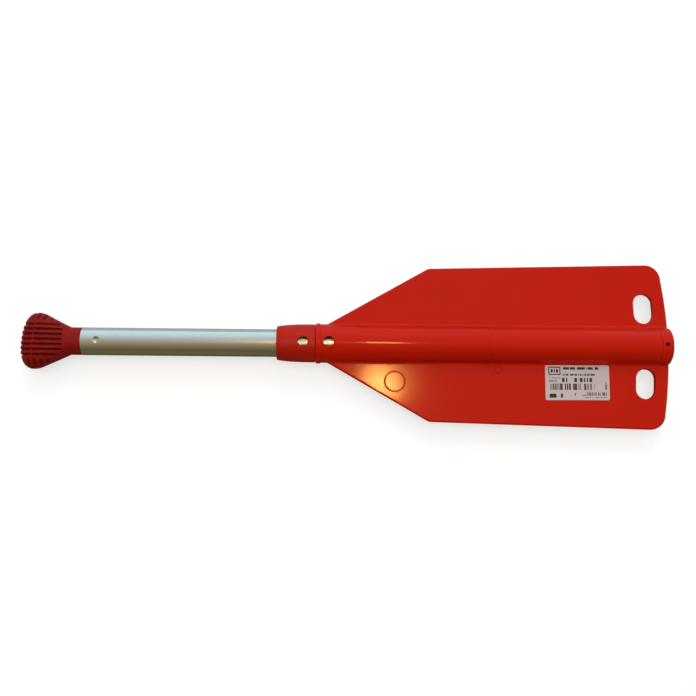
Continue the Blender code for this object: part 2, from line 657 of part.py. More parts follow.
def stake_cone(x, outset, clearance=0.0):
    """A tapered punch shape whose tip points at the tube's axis."""
    top = TUBE_RADIUS + outset
    depth = STAKE_DEPTH + clearance
    widen = (STAKE_MOUTH_DIAMETER - STAKE_FLOOR_DIAMETER) / 2 / STAKE_DEPTH
    floor = STAKE_FLOOR_DIAMETER / 2 + clearance
    mouth = floor + widen * (depth + outset)
    profile = [(TUBE_RADIUS - depth, 0.0), (TUBE_RADIUS - depth, floor), (top, mouth), (top, 0.0)]
    bm = turned(profile, 16, axis="Z")
    bmesh.ops.translate(bm, verts=bm.verts[:], vec=(x, 0.0, 0.0))
    return bm


def stake_places():
    """The dimples' places along the tube: one for each plug."""
    return [TUBE_TOP_X + STAKE_FROM_TUBE_END, TUBE_LOW_X - STAKE_FROM_TUBE_END]


def make_shaft_tube(frame, material):
    """The aluminium tube, with a dimple punched through into the plug at each end."""
    outer = TUBE_RADIUS
    inner = TUBE_BORE_RADIUS
    ease = TUBE_EDGE_BREAK
    profile = [
        (TUBE_TOP_X, inner + ease),
        (TUBE_TOP_X, outer - ease),
        (TUBE_TOP_X + ease, outer),
        (TUBE_LOW_X - ease, outer),
        (TUBE_LOW_X, outer - ease),
        (TUBE_LOW_X, inner + ease),
        (TUBE_LOW_X - ease, inner),
        (TUBE_TOP_X + ease, inner),
    ]
    tube = add_object("shaft_tube", turned(profile), frame, material)
    bulges = []
    punches = []
    for x in stake_places():
        bulges.append(stake_cone(x, -TUBE_WALL / 2, STAKE_SKIN))
        punches.append(stake_cone(x, TRIM_OVERRUN))
    shape_with(tube, hide_tool(add_object("stake_bulges_tool", merge_shapes(bulges), frame)), "UNION")
    shape_with(tube, hide_tool(add_object("stake_punches_tool", merge_shapes(punches), frame)))
    return tube


def add_stake_recess(plug, frame, x):
    """Hollow a plug where the tube's dimple presses into it."""
    bm = stake_cone(x, TRIM_OVERRUN, STAKE_SKIN + SEAT_GAP)
    shape_with(plug, hide_tool(add_object(f"{plug.name}_stake_tool", bm, frame)))


def make_guide_bush(frame, material):
    """The piston bush: a spigot in the tube, a piston in the spine, a ring groove and the button's well."""
    piston = PISTON_RADIUS
    ring_half = RING_SECTION_DIAMETER / 2 + SEAT_GAP
    groove_floor = RING_INNER_DIAMETER / 2 - SEAT_GAP
    spigot = PLUG_IN_TUBE_RADIUS
    spigot_end = BUSH_FACE_X - BUSH_SPIGOT_LENGTH
    profile = [
        (spigot_end, 0.0),
        (spigot_end, spigot - SPIGOT_LEAD_IN),
        (spigot_end + SPIGOT_LEAD_IN, spigot),
        (BUSH_FACE_X, spigot),
        (BUSH_FACE_X, piston),
        (RING_X - ring_half, piston),
        (RING_X - ring_half, groove_floor),
        (RING_X + ring_half, groove_floor),
        (RING_X + ring_half, piston),
        (BUSH_NOSE_X - BUSH_NOSE_CHAMFER, piston),
        (BUSH_NOSE_X, piston - BUSH_NOSE_CHAMFER),
        (BUSH_NOSE_X, 0.0),
    ]
    bush = add_object("guide_bush", turned(profile), frame, material)
    well = BUTTON_FLANGE_DIAMETER / 2 + SLIDE_CLEARANCE
    shape_with(bush, cylinder_tool(
        "button_well_tool", frame, well, BUTTON_WELL_FLOOR_Z, piston + TRIM_OVERRUN, BUTTON_X
    ))
    add_stake_recess(bush, frame, stake_places()[1])
    return bush


def make_friction_ring(frame, material):
    """The rubber ring in the bush's groove."""
    section = RING_SECTION_DIAMETER / 2
    centre = RING_INNER_DIAMETER / 2 + section
    profile = arc_points((0.0, centre), section, 0.0, 2 * math.pi, 8)[:-1]
    return add_object("friction_ring", turned(profile, 32), frame, material)


def make_lock_button(frame, material):
    """The lock button: a domed head that fits the lock holes, and a flange that can't pass them."""
    head = BUTTON_HEAD_DIAMETER / 2
    flange = BUTTON_FLANGE_DIAMETER / 2
    profile = [
        (BUTTON_FLANGE_LOW_Z, 0.0),
        (BUTTON_FLANGE_LOW_Z, flange),
        (BUTTON_FLANGE_TOP_Z, flange),
        (BUTTON_FLANGE_TOP_Z, head),
    ]
    steps = 5
    for step in range(steps):
        radius = head * (1 - step / steps)
        profile.append((BUTTON_TOP_Z - radius**2 / (2 * BUTTON_CROWN_RADIUS), radius))
    profile.append((BUTTON_TOP_Z, 0.0))
    return add_object("lock_button", turned(profile, SMALL_ROUND_STEPS, axis="Z"), frame, material)


def make_button_spring(frame, material):
    """The coil spring between the well's floor and the button's flange."""
    wire = SPRING_WIRE_DIAMETER / 2
    low = BUTTON_WELL_FLOOR_Z + SEAT_GAP + wire
    high = BUTTON_FLANGE_LOW_Z - SEAT_GAP - wire
    points_per_turn = 10
    count = SPRING_TURNS * points_per_turn
    curve = bpy.data.curves.new("button_spring", "CURVE")
    curve.dimensions = "3D"
    curve.bevel_depth = wire
    curve.bevel_resolution = 1
    curve.use_fill_caps = True
    spline = curve.splines.new("POLY")
    spline.points.add(count)
    for index in range(count + 1):
        angle = 2 * math.pi * index / points_per_turn
        x = SPRING_MEAN_DIAMETER / 2 * math.cos(angle)
        y = SPRING_MEAN_DIAMETER / 2 * math.sin(angle)
        z = low + (high - low) * index / count
        spline.points[index].co = (x, y, z, 1.0)
    curve.materials.append(material)
    spring = bpy.data.objects.new("button_spring", curve)
    bpy.context.scene.collection.objects.link(spring)
    spring.parent = frame
    return spring


def grip_half_width(s):
    """The grip's half-width at a distance from its end: rounded end, shoulder arc, straight taper, neck."""
    if s <= GRIP_END_DEPTH:
        share = (GRIP_END_DEPTH - s) / GRIP_END_DEPTH
        return GRIP_HALF_WIDTH * max(0.0, 1 - share**GRIP_END_POWER) ** (1 / GRIP_END_POWER)
    if s <= GRIP_ARC_END:
        run = s - GRIP_END_DEPTH
        return GRIP_HALF_WIDTH - GRIP_SHOULDER_RADIUS + math.sqrt(GRIP_SHOULDER_RADIUS**2 - run**2)
    if s <= GRIP_TAPER_END:
        return GRIP_ARC_END_HALF - (s - GRIP_ARC_END) * math.tan(GRIP_TAPER)
    return GRIP_NECK_DIAMETER / 2


def grip_half_thickness(s):
    """The grip's half-thickness, which follows the width's places but tapers less."""
    neck = GRIP_NECK_DIAMETER / 2
    if s <= GRIP_END_DEPTH:
        share = (GRIP_END_DEPTH - s) / GRIP_END_DEPTH
        return GRIP_HALF_THICKNESS * max(0.0, 1 - share**GRIP_END_POWER) ** (1 / GRIP_END_POWER)
    share = min(1.0, (s - GRIP_END_DEPTH) / (GRIP_TAPER_END - GRIP_END_DEPTH))
    ease = 0.5 - 0.5 * math.cos(math.pi * share)
    return GRIP_HALF_THICKNESS + (neck - GRIP_HALF_THICKNESS) * ease


def grip_power(s):
    """How square the grip's section is: boxy in the palm, round at the neck."""
    share = min(1.0, max(0.0, (s - GRIP_ARC_END) / (GRIP_TAPER_END - GRIP_ARC_END)))
    return GRIP_FACE_POWER + (2.0 - GRIP_FACE_POWER) * share


def grip_point(s, angle):
    """A point on the grip's skin at a distance from its end, by angle round the section."""
    power = 2 / grip_power(s)
    cosine = math.cos(angle)
    sine = math.sin(angle)
    y = grip_half_width(s) * math.copysign(abs(cosine) ** power, cosine)
    z = grip_half_thickness(s) * math.copysign(abs(sine) ** power, sine)
    return (GRIP_END_X + s, y, z)


def grip_body():
    """The smooth grip before its grooves. The first section is a hair inside the end, where it has a size."""
    stations = [GRIP_END_DEPTH / 1000]
    end_steps = 6
    for step in range(1, end_steps + 1):
        stations.append(GRIP_END_DEPTH * (1 - math.cos(math.pi / 2 * step / end_steps)))
    for step in range(1, 3):
        stations.append(GRIP_END_DEPTH + (GRIP_ARC_END - GRIP_END_DEPTH) * step / 2)
    for step in range(1, 5):
        stations.append(GRIP_ARC_END + (GRIP_TAPER_END - GRIP_ARC_END) * step / 4)
    stations.append(GRIP_LENGTH)
    rings = []
    for s in stations:
        rings.append([grip_point(s, 2 * math.pi * index / GRIP_STEPS) for index in range(GRIP_STEPS)])
    return lofted(rings)


def groove_section(width, depth):
    """A groove's section as (outward, sideways) points: a narrow floor and sloping sides."""
    above_skin = 2 * depth
    floor = GROOVE_FLOOR_SHARE * width / 2
    mouth = width / 2 + GROOVE_SIDE_SHARE * width * above_skin / depth
    return [(above_skin, -mouth), (-depth, -floor), (-depth, floor), (above_skin, mouth)]


def swept_groove(path, width, depth):
    """Sweep a groove's section along a path of (point, outward, sideways) frames."""
    rings = []
    for point, outward, sideways in path:
        ring = []
        for out, side in groove_section(width, depth):
            ring.append(tuple(Vector(point) + out * Vector(outward) + side * Vector(sideways)))
        rings.append(ring)
    return lofted(rings)


def groove_stations(length):
    """Distances from the grip's end at which a lengthwise groove gets a section: close together at the end."""
    end_steps = 4
    stations = [GRIP_END_DEPTH * (1 - math.cos(math.pi / 2 * step / end_steps)) for step in range(end_steps)]
    run_steps = 4
    stations += [GRIP_END_DEPTH + (length - GRIP_END_DEPTH) * step / run_steps for step in range(run_steps + 1)]
    return stations


def face_profile(y, length):
    """The grip's outline in the upright plane at one y: from the front face, round the end, to the back."""
    share = (abs(y) / GRIP_HALF_WIDTH) ** GRIP_END_POWER
    nose = GRIP_END_DEPTH * (1 - (1 - share) ** (1 / GRIP_END_POWER))
    front = []
    for station in groove_stations(length):
        s = nose + station * (length - nose) / length
        width = grip_half_width(s)
        power = grip_power(s)
        height = max(0.0, 1 - (abs(y) / width) ** power) ** (1 / power) if width > abs(y) else 0.0
        front.append((GRIP_END_X + s, grip_half_thickness(s) * height))
    return front[:0:-1] + [(front[0][0], 0.0)] + [(x, -z) for x, z in front[1:]]


def face_groove(y, length):
    """A lengthwise groove that wraps over the grip's end from face to face, and runs out at both ends."""
    outline = face_profile(y, length)
    path = []
    for index, (x, z) in enumerate(outline):
        before = Vector(outline[max(0, index - 1)])
        after = Vector(outline[min(len(outline) - 1, index + 1)])
        along = (after - before).normalized()
        outward = (-along.y, along.x)
        if outward[0] * (x - GRIP_END_X - GRIP_END_DEPTH) + outward[1] * z < 0:
            outward = (-outward[0], -outward[1])
        lift = FACE_GROOVE_DEPTH if index in (0, len(outline) - 1) else 0.0
        point = (x + outward[0] * lift, y, z + outward[1] * lift)
        path.append((point, (outward[0], 0.0, outward[1]), (0.0, 1.0, 0.0)))
    return swept_groove(path, FACE_GROOVE_WIDTH, FACE_GROOVE_DEPTH)


def side_groove(s, side):
    """A groove round one side of the grip, from front to back, square to the shaft."""
    width = grip_half_width(s)
    thick = grip_half_thickness(s)
    power = grip_power(s)
    start = math.acos((SIDE_GROOVE_FROM_Y / width) ** (power / 2))
    path = []
    steps = 5
    for step in range(steps + 1):
        angle = start - 2 * start * step / steps
        _, y, z = grip_point(s, angle)
        outward = Vector((0.0, abs(y) ** (power - 1) / width**power,
                          math.copysign(abs(z) ** (power - 1), z) / thick**power)).normalized()
        lift = SIDE_GROOVE_DEPTH if step in (0, steps) else 0.0
        point = Vector((GRIP_END_X + s, y, z)) + lift * outward
        place = (point.x, side * point.y, point.z)
        path.append((place, (0.0, side * outward.y, outward.z), (1.0, 0.0, 0.0)))
    return swept_groove(path, SIDE_GROOVE_WIDTH, SIDE_GROOVE_DEPTH)


def core_profile(clearance=0.0):
    """The grip core's outline inside the grip, from the tube's end to its tip, with its key grooves."""
    stem = CORE_STEM_DIAMETER / 2 + clearance
    key = stem - CORE_KEY_DEPTH
    tip = GRIP_LOW_X - CORE_STEM_LENGTH - clearance
    pitch = CORE_STEM_LENGTH / (CORE_KEYS + 1)
    half_key = CORE_KEY_WIDTH / 2 - clearance
    profile = [(tip, 0.0), (tip, stem - CORE_TIP_CHAMFER), (tip + CORE_TIP_CHAMFER, stem)]
    for number in range(CORE_KEYS, 0, -1):
        middle = GRIP_LOW_X - pitch * number
        profile.append((middle - half_key - CORE_KEY_DEPTH, stem))
        profile.append((middle - half_key, key))
        profile.append((middle + half_key, key))
        profile.append((middle + half_key + CORE_KEY_DEPTH, stem))
    return profile, stem


def make_grip(frame, material):
    """The soft grip: a pear in plan, ribbed lengthwise on both faces and crosswise on its sides."""
    grip = add_object("grip", grip_body(), frame, material)
    grooves = []
    for number in range(FACE_GROOVES):
        from_middle = number - (FACE_GROOVES - 1) / 2
        outermost = number in (0, FACE_GROOVES - 1)
        length = OUTER_FACE_GROOVE_LENGTH if outermost else FACE_GROOVE_LENGTH
        grooves.append(face_groove(from_middle * FACE_GROOVE_PITCH, length))
    face_tool = hide_tool(add_object("face_grooves_tool", merge_shapes(grooves), frame))
    shape_with(grip, face_tool)
    ribs = []
    for number in range(SIDE_GROOVES):
        for side in (1, -1):
            ribs.append(side_groove(SIDE_GROOVE_START + number * SIDE_GROOVE_PITCH, side))
    shape_with(grip, hide_tool(add_object("side_grooves_tool", merge_shapes(ribs), frame)))
    profile, stem = core_profile(SEAT_GAP)
    mouth = GRIP_LOW_X + TRIM_OVERRUN
    profile += [(mouth, stem), (mouth, 0.0)]
    shape_with(grip, hide_tool(add_object("core_cavity_tool", turned(profile, PLUG_STEPS), frame)))
    return grip


def make_grip_core(frame, material):
    """The stiff plug: a keyed stem in the grip and a spigot in the tube, hollowed for the dimple."""
    profile, stem = core_profile()
    spigot_start = TUBE_TOP_X + TUBE_EDGE_BREAK
    spigot_end = TUBE_TOP_X + CORE_SPIGOT_LENGTH
    profile += [
        (spigot_start, stem),
        (spigot_start, PLUG_IN_TUBE_RADIUS),
        (spigot_end - SPIGOT_LEAD_IN, PLUG_IN_TUBE_RADIUS),
        (spigot_end, PLUG_IN_TUBE_RADIUS - SPIGOT_LEAD_IN),
        (spigot_end, 0.0),
    ]
    core = add_object("grip_core", turned(profile, PLUG_STEPS), frame, material)
    add_stake_recess(core, frame, stake_places()[0])
    return core


def make_float_plug(frame, material):
    """The foam cylinder in the tube, next to the grip core."""
    start = TUBE_TOP_X + CORE_SPIGOT_LENGTH + SEAT_GAP
    end = start + FLOAT_PLUG_LENGTH
    radius = PLUG_IN_TUBE_RADIUS
    ease = FLOAT_PLUG_CHAMFER
    profile = [(start, 0.0), (start, radius - ease), (start + ease, radius), (end - ease, radius),
               (end, radius - ease), (end, 0.0)]
    return add_object("float_plug", turned(profile, PLUG_STEPS), frame, material)


def main():
    """Build the paddle, stowed."""
    clear_scene()
    blade_red = make_material("moulded_red", (0.49, 0.018, 0.006), 0.38)
    grip_red = make_material("soft_dark_red", (0.125, 0.008, 0.005), 0.55)
    aluminium = make_material("satin_aluminium", (0.62, 0.64, 0.64), 0.32, 1.0)
    nylon = make_material("natural_nylon", (0.72, 0.69, 0.60), 0.5)
    button_steel = make_material("button_steel", (0.60, 0.58, 0.55), 0.3, 1.0)
    spring_steel = make_material("spring_steel", (0.45, 0.45, 0.46), 0.35, 1.0)
    rubber = make_material("black_rubber", (0.02, 0.02, 0.02), 0.75)
    foam = make_material("white_foam", (0.80, 0.80, 0.78), 0.9)
    core_plastic = make_material("grey_plastic", (0.25, 0.25, 0.25), 0.5)

    blade_frame = make_empty("blade_frame", (SEAM_X, 0.0, AXIS_HEIGHT))
    ring_frame = make_empty("ring_slide_axis", (RING_X, 0.0, 0.0), blade_frame)
    shaft_frame = make_empty("shaft_twist_axis", (-RING_X, 0.0, 0.0), ring_frame)
    button_frame = make_empty("button_press_axis", (BUTTON_X, 0.0, 0.0), shaft_frame)

    make_blade(blade_frame, blade_red)
    make_neck_collar(blade_frame, blade_red)
    make_tip_plug(blade_frame, blade_red)
    make_friction_ring(ring_frame, rubber)
    make_shaft_tube(shaft_frame, aluminium)
    make_guide_bush(shaft_frame, nylon)
    make_grip(shaft_frame, grip_red)
    make_grip_core(shaft_frame, core_plastic)
    make_float_plug(shaft_frame, foam)
    make_button_spring(button_frame, spring_steel)
    make_lock_button(button_frame, button_steel)


main()
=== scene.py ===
"""Telescopic paddle, dressed for the camera: red polyethylene blade, drawn aluminium tube, ribbed vinyl grip.

Every outside piece is modelled again here with fine rounds and soft edges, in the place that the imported
frame gives it, and every inside piece gets its own finish. Lengths along the shaft are measured from the
seam between the neck collar and the blade, positive towards the blade's tip. The shaft's axis is Y = 0,
Z = 0 there, and +Z is the face with the lock holes.
"""

from __future__ import annotations

import logging
import math
from dataclasses import dataclass, field
from enum import Enum

import bmesh
import bpy
from mathutils import Matrix, Vector


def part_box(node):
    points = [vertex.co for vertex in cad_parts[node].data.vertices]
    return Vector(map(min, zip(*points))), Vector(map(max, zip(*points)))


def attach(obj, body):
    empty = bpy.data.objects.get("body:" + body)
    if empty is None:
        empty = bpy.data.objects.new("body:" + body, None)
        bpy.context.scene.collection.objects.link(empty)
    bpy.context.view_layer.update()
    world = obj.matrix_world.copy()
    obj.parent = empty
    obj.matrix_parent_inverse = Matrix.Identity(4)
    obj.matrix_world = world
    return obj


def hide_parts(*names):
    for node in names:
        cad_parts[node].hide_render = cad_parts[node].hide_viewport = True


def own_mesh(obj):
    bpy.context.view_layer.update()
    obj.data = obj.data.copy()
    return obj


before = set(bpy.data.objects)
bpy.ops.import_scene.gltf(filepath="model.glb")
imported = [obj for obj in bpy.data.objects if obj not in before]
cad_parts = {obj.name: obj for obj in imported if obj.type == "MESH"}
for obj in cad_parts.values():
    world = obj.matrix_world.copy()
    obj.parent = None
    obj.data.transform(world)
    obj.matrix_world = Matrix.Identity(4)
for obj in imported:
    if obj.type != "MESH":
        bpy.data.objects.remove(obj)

LOG = logging.getLogger("paddle")
MM = 0.001
SEAT_GAP = 0.3 * MM  # between a piece and its seat, as the part's solids have it
SLIVER = 0.004 * MM  # what a Boolean leaves below this size is merged away
SAME_POINT = 1e-6  # points of a turned shape that are nearer than this are one
NO_LENGTH = 1e-7  # a length below this is none
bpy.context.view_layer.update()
# The groove share also sets how much painted shade darkens the grip
GROOVE_ATTRIBUTE = "groove"  # on the grip's points: 0 on a rib's crown, 1 on a groove's floor

# Sockets of a Mix node for colours, by number, because its other kinds have sockets of the same names
MIX_SHARE, MIX_FIRST, MIX_SECOND, MIX_RESULT = 0, 6, 7, 2

Point2 = tuple[float, float]
Point3 = tuple[float, float, float]
Surface = tuple[bpy.types.Material, bpy.types.Node, bpy.types.NodeSocket]


class Solver(Enum):
    """How a Boolean is worked out."""

    EXACT = "EXACT"
    MANIFOLD = "MANIFOLD"


class Axis(Enum):
    """The axis that a turned profile spins about."""

    SHAFT = "X"
    UPRIGHT = "Z"


@dataclass(frozen=True)
class Layout:
    """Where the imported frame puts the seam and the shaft's axis."""

    seam_x: float
    axis_z: float

    @classmethod
    def from_frame(cls) -> Layout:
        """Read the seam and the axis from the blade's box."""
        low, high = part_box("blade")
        return cls(seam_x=low.x - SEAT_GAP / 2, axis_z=(low.z + high.z) / 2)

    def world(self, x: float, y: float, z: float) -> Vector:
        """A point of the seam's frame, in the part's frame."""
        return Vector((x + self.seam_x, y, z + self.axis_z))

    def along(self, world_x: float) -> float:
        """A place along the shaft, measured from the seam."""
        return world_x - self.seam_x


def linear_colour(code: str) -> tuple[float, float, float, float]:
    """Turn an sRGB hex colour into the linear values that a shader takes.

    Args:
        code: Six hex digits, red first.

    Returns:
        Linear red, green and blue, and an alpha of 1.
    """
    channels = []
    for start in (0, 2, 4):
        value = int(code[start:start + 2], 16) / 255
        channels.append(value / 12.92 if value <= 0.04045 else ((value + 0.055) / 1.055) ** 2.4)
    return (*channels, 1.0)


def add_node(tree: bpy.types.NodeTree, kind: str, settings: dict | None = None,
             links: dict | None = None) -> bpy.types.Node:
    """Add one node with its settings and links.

    Args:
        tree: The node tree that gets the node.
        kind: The node's type name.
        settings: Attributes by name, or input values by the input's name or number.
        links: Output sockets to join, by this node's input name or number.

    Returns:
        The new node.
    """
    node = tree.nodes.new(kind)
    for key, value in (settings or {}).items():
        if isinstance(key, str) and hasattr(node, key):
            setattr(node, key, value)
        else:
            node.inputs[key].default_value = value
    for key, socket in (links or {}).items():
        tree.links.new(socket, node.inputs[key])
    return node


def turned(profile: list[Point2], steps: int, axis: Axis = Axis.SHAFT) -> bmesh.types.BMesh:
    """Spin a closed outline about an axis.

    Args:
        profile: Points as (along the axis, radius), in order round the outline.
        steps: Facets in a full turn.
        axis: The axis to spin about.

    Returns:
        The turned shape.
    """
    bm = bmesh.new()
    if axis is Axis.SHAFT:
        corners = [bm.verts.new((along, 0.0, radius)) for along, radius in profile]
        direction = (1, 0, 0)
    else:
        corners = [bm.verts.new((radius, 0.0, along)) for along, radius in profile]
        direction = (0, 0, 1)
    edges = []
    for index, corner in enumerate(corners):
        following = (index + 1) % len(corners)
        if max(profile[index][1], profile[following][1]) > NO_LENGTH:
            edges.append(bm.edges.new((corner, corners[following])))
    bmesh.ops.spin(
        bm, geom=corners + edges, cent=(0, 0, 0), axis=direction, angle=2 * math.pi, steps=steps
    )
    bmesh.ops.remove_doubles(bm, verts=bm.verts[:], dist=SAME_POINT)
    bmesh.ops.dissolve_degenerate(bm, edges=bm.edges[:], dist=NO_LENGTH)
    return bm


def lofted(rings: list[list[Point3]], closed: bool = False) -> bmesh.types.BMesh:
    """Skin equal rings of points in order.

    Args:
        rings: The rings, each with as many points.
        closed: True joins the last ring to the first, and False caps both ends.

    Returns:
        The skinned shape.
    """
    bm = bmesh.new()
    loops = [[bm.verts.new(point) for point in ring] for ring in rings]
    count = len(loops[0])
    pairs = list(zip(loops, loops[1:]))
    if closed:
        pairs.append((loops[-1], loops[0]))
    for low, high in pairs:
        for index in range(count):
            following = (index + 1) % count
            bm.faces.new((low[index], low[following], high[following], high[index]))
    if not closed:
        bm.faces.new(loops[0][::-1])
        bm.faces.new(loops[-1])
    return bm


def arc_points(centre: Point2, radius: float, start: float, end: float, steps: int) -> list[Point2]:
    """Points on an arc, both ends included.

    Args:
        centre: The arc's centre.
        radius: Its radius.
        start: The first point's angle, in radians.
        end: The last point's angle, in radians.
        steps: How many chords to draw.

    Returns:
        The points in order.
    """
    points = []
    for step in range(steps + 1):
        angle = start + (end - start) * step / steps
        points.append((centre[0] + radius * math.cos(angle), centre[1] + radius * math.sin(angle)))
    return points


def full_turn(steps: int) -> list[float]:
    """The angles of one full turn in even steps, in radians."""
    return [2 * math.pi * step / steps for step in range(steps)]


def eased(share: float) -> float:
    """A run from 0 to 1 that starts and ends softly."""
    return 0.5 - 0.5 * math.cos(math.pi * share)


def round_corner(before: Point2, corner: Point2, after: Point2, radius: float, steps: int) -> list[Point2]:
    """The arc that rounds a corner between two straight sides.

    Args:
        before: A point on the side that comes in.
        corner: The sharp corner.
        after: A point on the side that goes out.
        radius: The arc's radius.
        steps: How many chords to draw.

    Returns:
        The arc's points in order.
    """
    middle_corner = Vector(corner)
    to_before = (Vector(before) - middle_corner).normalized()
    to_after = (Vector(after) - middle_corner).normalized()
    half = to_before.angle(to_after) / 2
    start = middle_corner + to_before * (radius / math.tan(half))
    middle = middle_corner + (to_before + to_after).normalized() * (radius / math.sin(half))
    turn = 1 if to_before.x * to_after.y - to_before.y * to_after.x < 0 else -1
    points = []
    for step in range(steps + 1):
        spun = Matrix.Rotation(turn * (math.pi - 2 * half) * step / steps, 2) @ (start - middle)
        points.append(tuple(middle + spun))
    return points


def merged(shapes: list[bmesh.types.BMesh]) -> bmesh.types.BMesh:
    """Put separate closed shapes into one bmesh, and free them.

    Args:
        shapes: The shapes to put together.

    Returns:
        The one bmesh.
    """
    whole = bmesh.new()
    for shape in shapes:
        mesh = bpy.data.meshes.new("part_of_shape")
        shape.to_mesh(mesh)
        shape.free()
        whole.from_mesh(mesh)
        bpy.data.meshes.remove(mesh)
    return whole


def add_object(name: str, bm: bmesh.types.BMesh) -> bpy.types.Object:
    """Turn a bmesh into an object at the origin.

    Args:
        name: The object's name.
        bm: The shape, which is freed.

    Returns:
        The object.
    """
    bmesh.ops.recalc_face_normals(bm, faces=bm.faces[:])
    mesh = bpy.data.meshes.new(name)
    bm.to_mesh(mesh)
    bm.free()
    thing = bpy.data.objects.new(name, mesh)
    bpy.context.scene.collection.objects.link(thing)
    return thing


@dataclass
class Carving:
    """A solid and the shapes that are cut from it or joined to it, in order."""

    target: bpy.types.Object
    tools: list[bpy.types.Object] = field(default_factory=list)

    def apply(self, bm: bmesh.types.BMesh, operation: str, solver: Solver = Solver.EXACT) -> None:
        """Add one Boolean.

        Args:
            bm: The tool's shape.
            operation: UNION, DIFFERENCE or INTERSECT.
            solver: The solver to use.
        """
        tool = add_object(f"{self.target.name}_tool_{len(self.tools)}", bm)
        self.tools.append(tool)
        modifier = self.target.modifiers.new(tool.name, "BOOLEAN")
        modifier.operation = operation
        modifier.solver = solver.value
        modifier.object = tool

    def freeze(self) -> bpy.types.Object:
        """Work out the Booleans, keep the mesh that they give, and remove the tools.

        Returns:
            The finished object.
        """
        graph = bpy.context.evaluated_depsgraph_get()
        mesh = bpy.data.meshes.new_from_object(self.target.evaluated_get(graph))
        without_slivers = bmesh.new()
        without_slivers.from_mesh(mesh)
        bmesh.ops.remove_doubles(without_slivers, verts=without_slivers.verts[:], dist=SLIVER)
        bmesh.ops.dissolve_degenerate(without_slivers, edges=without_slivers.edges[:], dist=SLIVER)
        without_slivers.to_mesh(mesh)
        without_slivers.free()
        old = self.target.data
        self.target.modifiers.clear()
        self.target.data = mesh
        bpy.data.meshes.remove(old)
        for tool in self.tools:
            data = tool.data
            bpy.data.objects.remove(tool)
            bpy.data.meshes.remove(data)
        self.tools.clear()
        return self.target


def place(piece: bpy.types.Object, layout: Layout) -> None:
    """Shift a mesh from the seam's frame to the part's frame.

    Args:
        piece: The object whose mesh is shifted.
        layout: Where the seam and the axis are.
    """
    piece.data.transform(Matrix.Translation(layout.world(0.0, 0.0, 0.0)))


def dress(piece: bpy.types.Object, material: bpy.types.Material, sharp_above_deg: float) -> None:
    """Give a piece its finish and shade it smooth, with hard edges at steep angles and flats kept flat.

    Args:
        piece: The finished mesh.
        material: The finish.
        sharp_above_deg: The angle between faces above which an edge is hard.
    """
    piece.data.materials.clear()
    piece.data.materials.append(material)
    piece.data.shade_smooth()
    piece.data.set_sharp_from_angle(angle=math.radians(sharp_above_deg))
    weighted = piece.modifiers.new("flat_faces_stay_flat", "WEIGHTED_NORMAL")
    weighted.keep_sharp = True


def join_to_part(piece: bpy.types.Object, body: str, nodes: tuple[str, ...] = ()) -> None:
    """Tie a piece to the body that it rides on, and hide the CAD nodes that it stands for.

    Args:
        piece: The finished piece, in place.
        body: The body that it rides on.
        nodes: The CAD nodes that it stands for.
    """
    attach(piece, body)
    if nodes:
        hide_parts(*nodes)
    LOG.info("%s: %d faces, rides on %s", piece.name, len(piece.data.polygons), body)


def new_surface(name: str, settings: dict[str, object]) -> Surface:
    """Start a material.

    Args:
        name: The material's name.
        settings: Values for its shader's inputs, by the input's name.

    Returns:
        The material, its shader, and the socket that gives a point's place in the part's frame.
    """
    material = bpy.data.materials.new(name)
    material.use_nodes = True
    shader = material.node_tree.nodes["Principled BSDF"]
    for key, value in settings.items():
        shader.inputs[key].default_value = value
    return material, shader, add_node(material.node_tree, "ShaderNodeTexCoord").outputs["Object"]


@dataclass(frozen=True)
class Relief:
    """An unevenness of a surface that is too fine to model, and is drawn as a bump."""

    pitch: float
    depth: float
    detail: float = 3.0


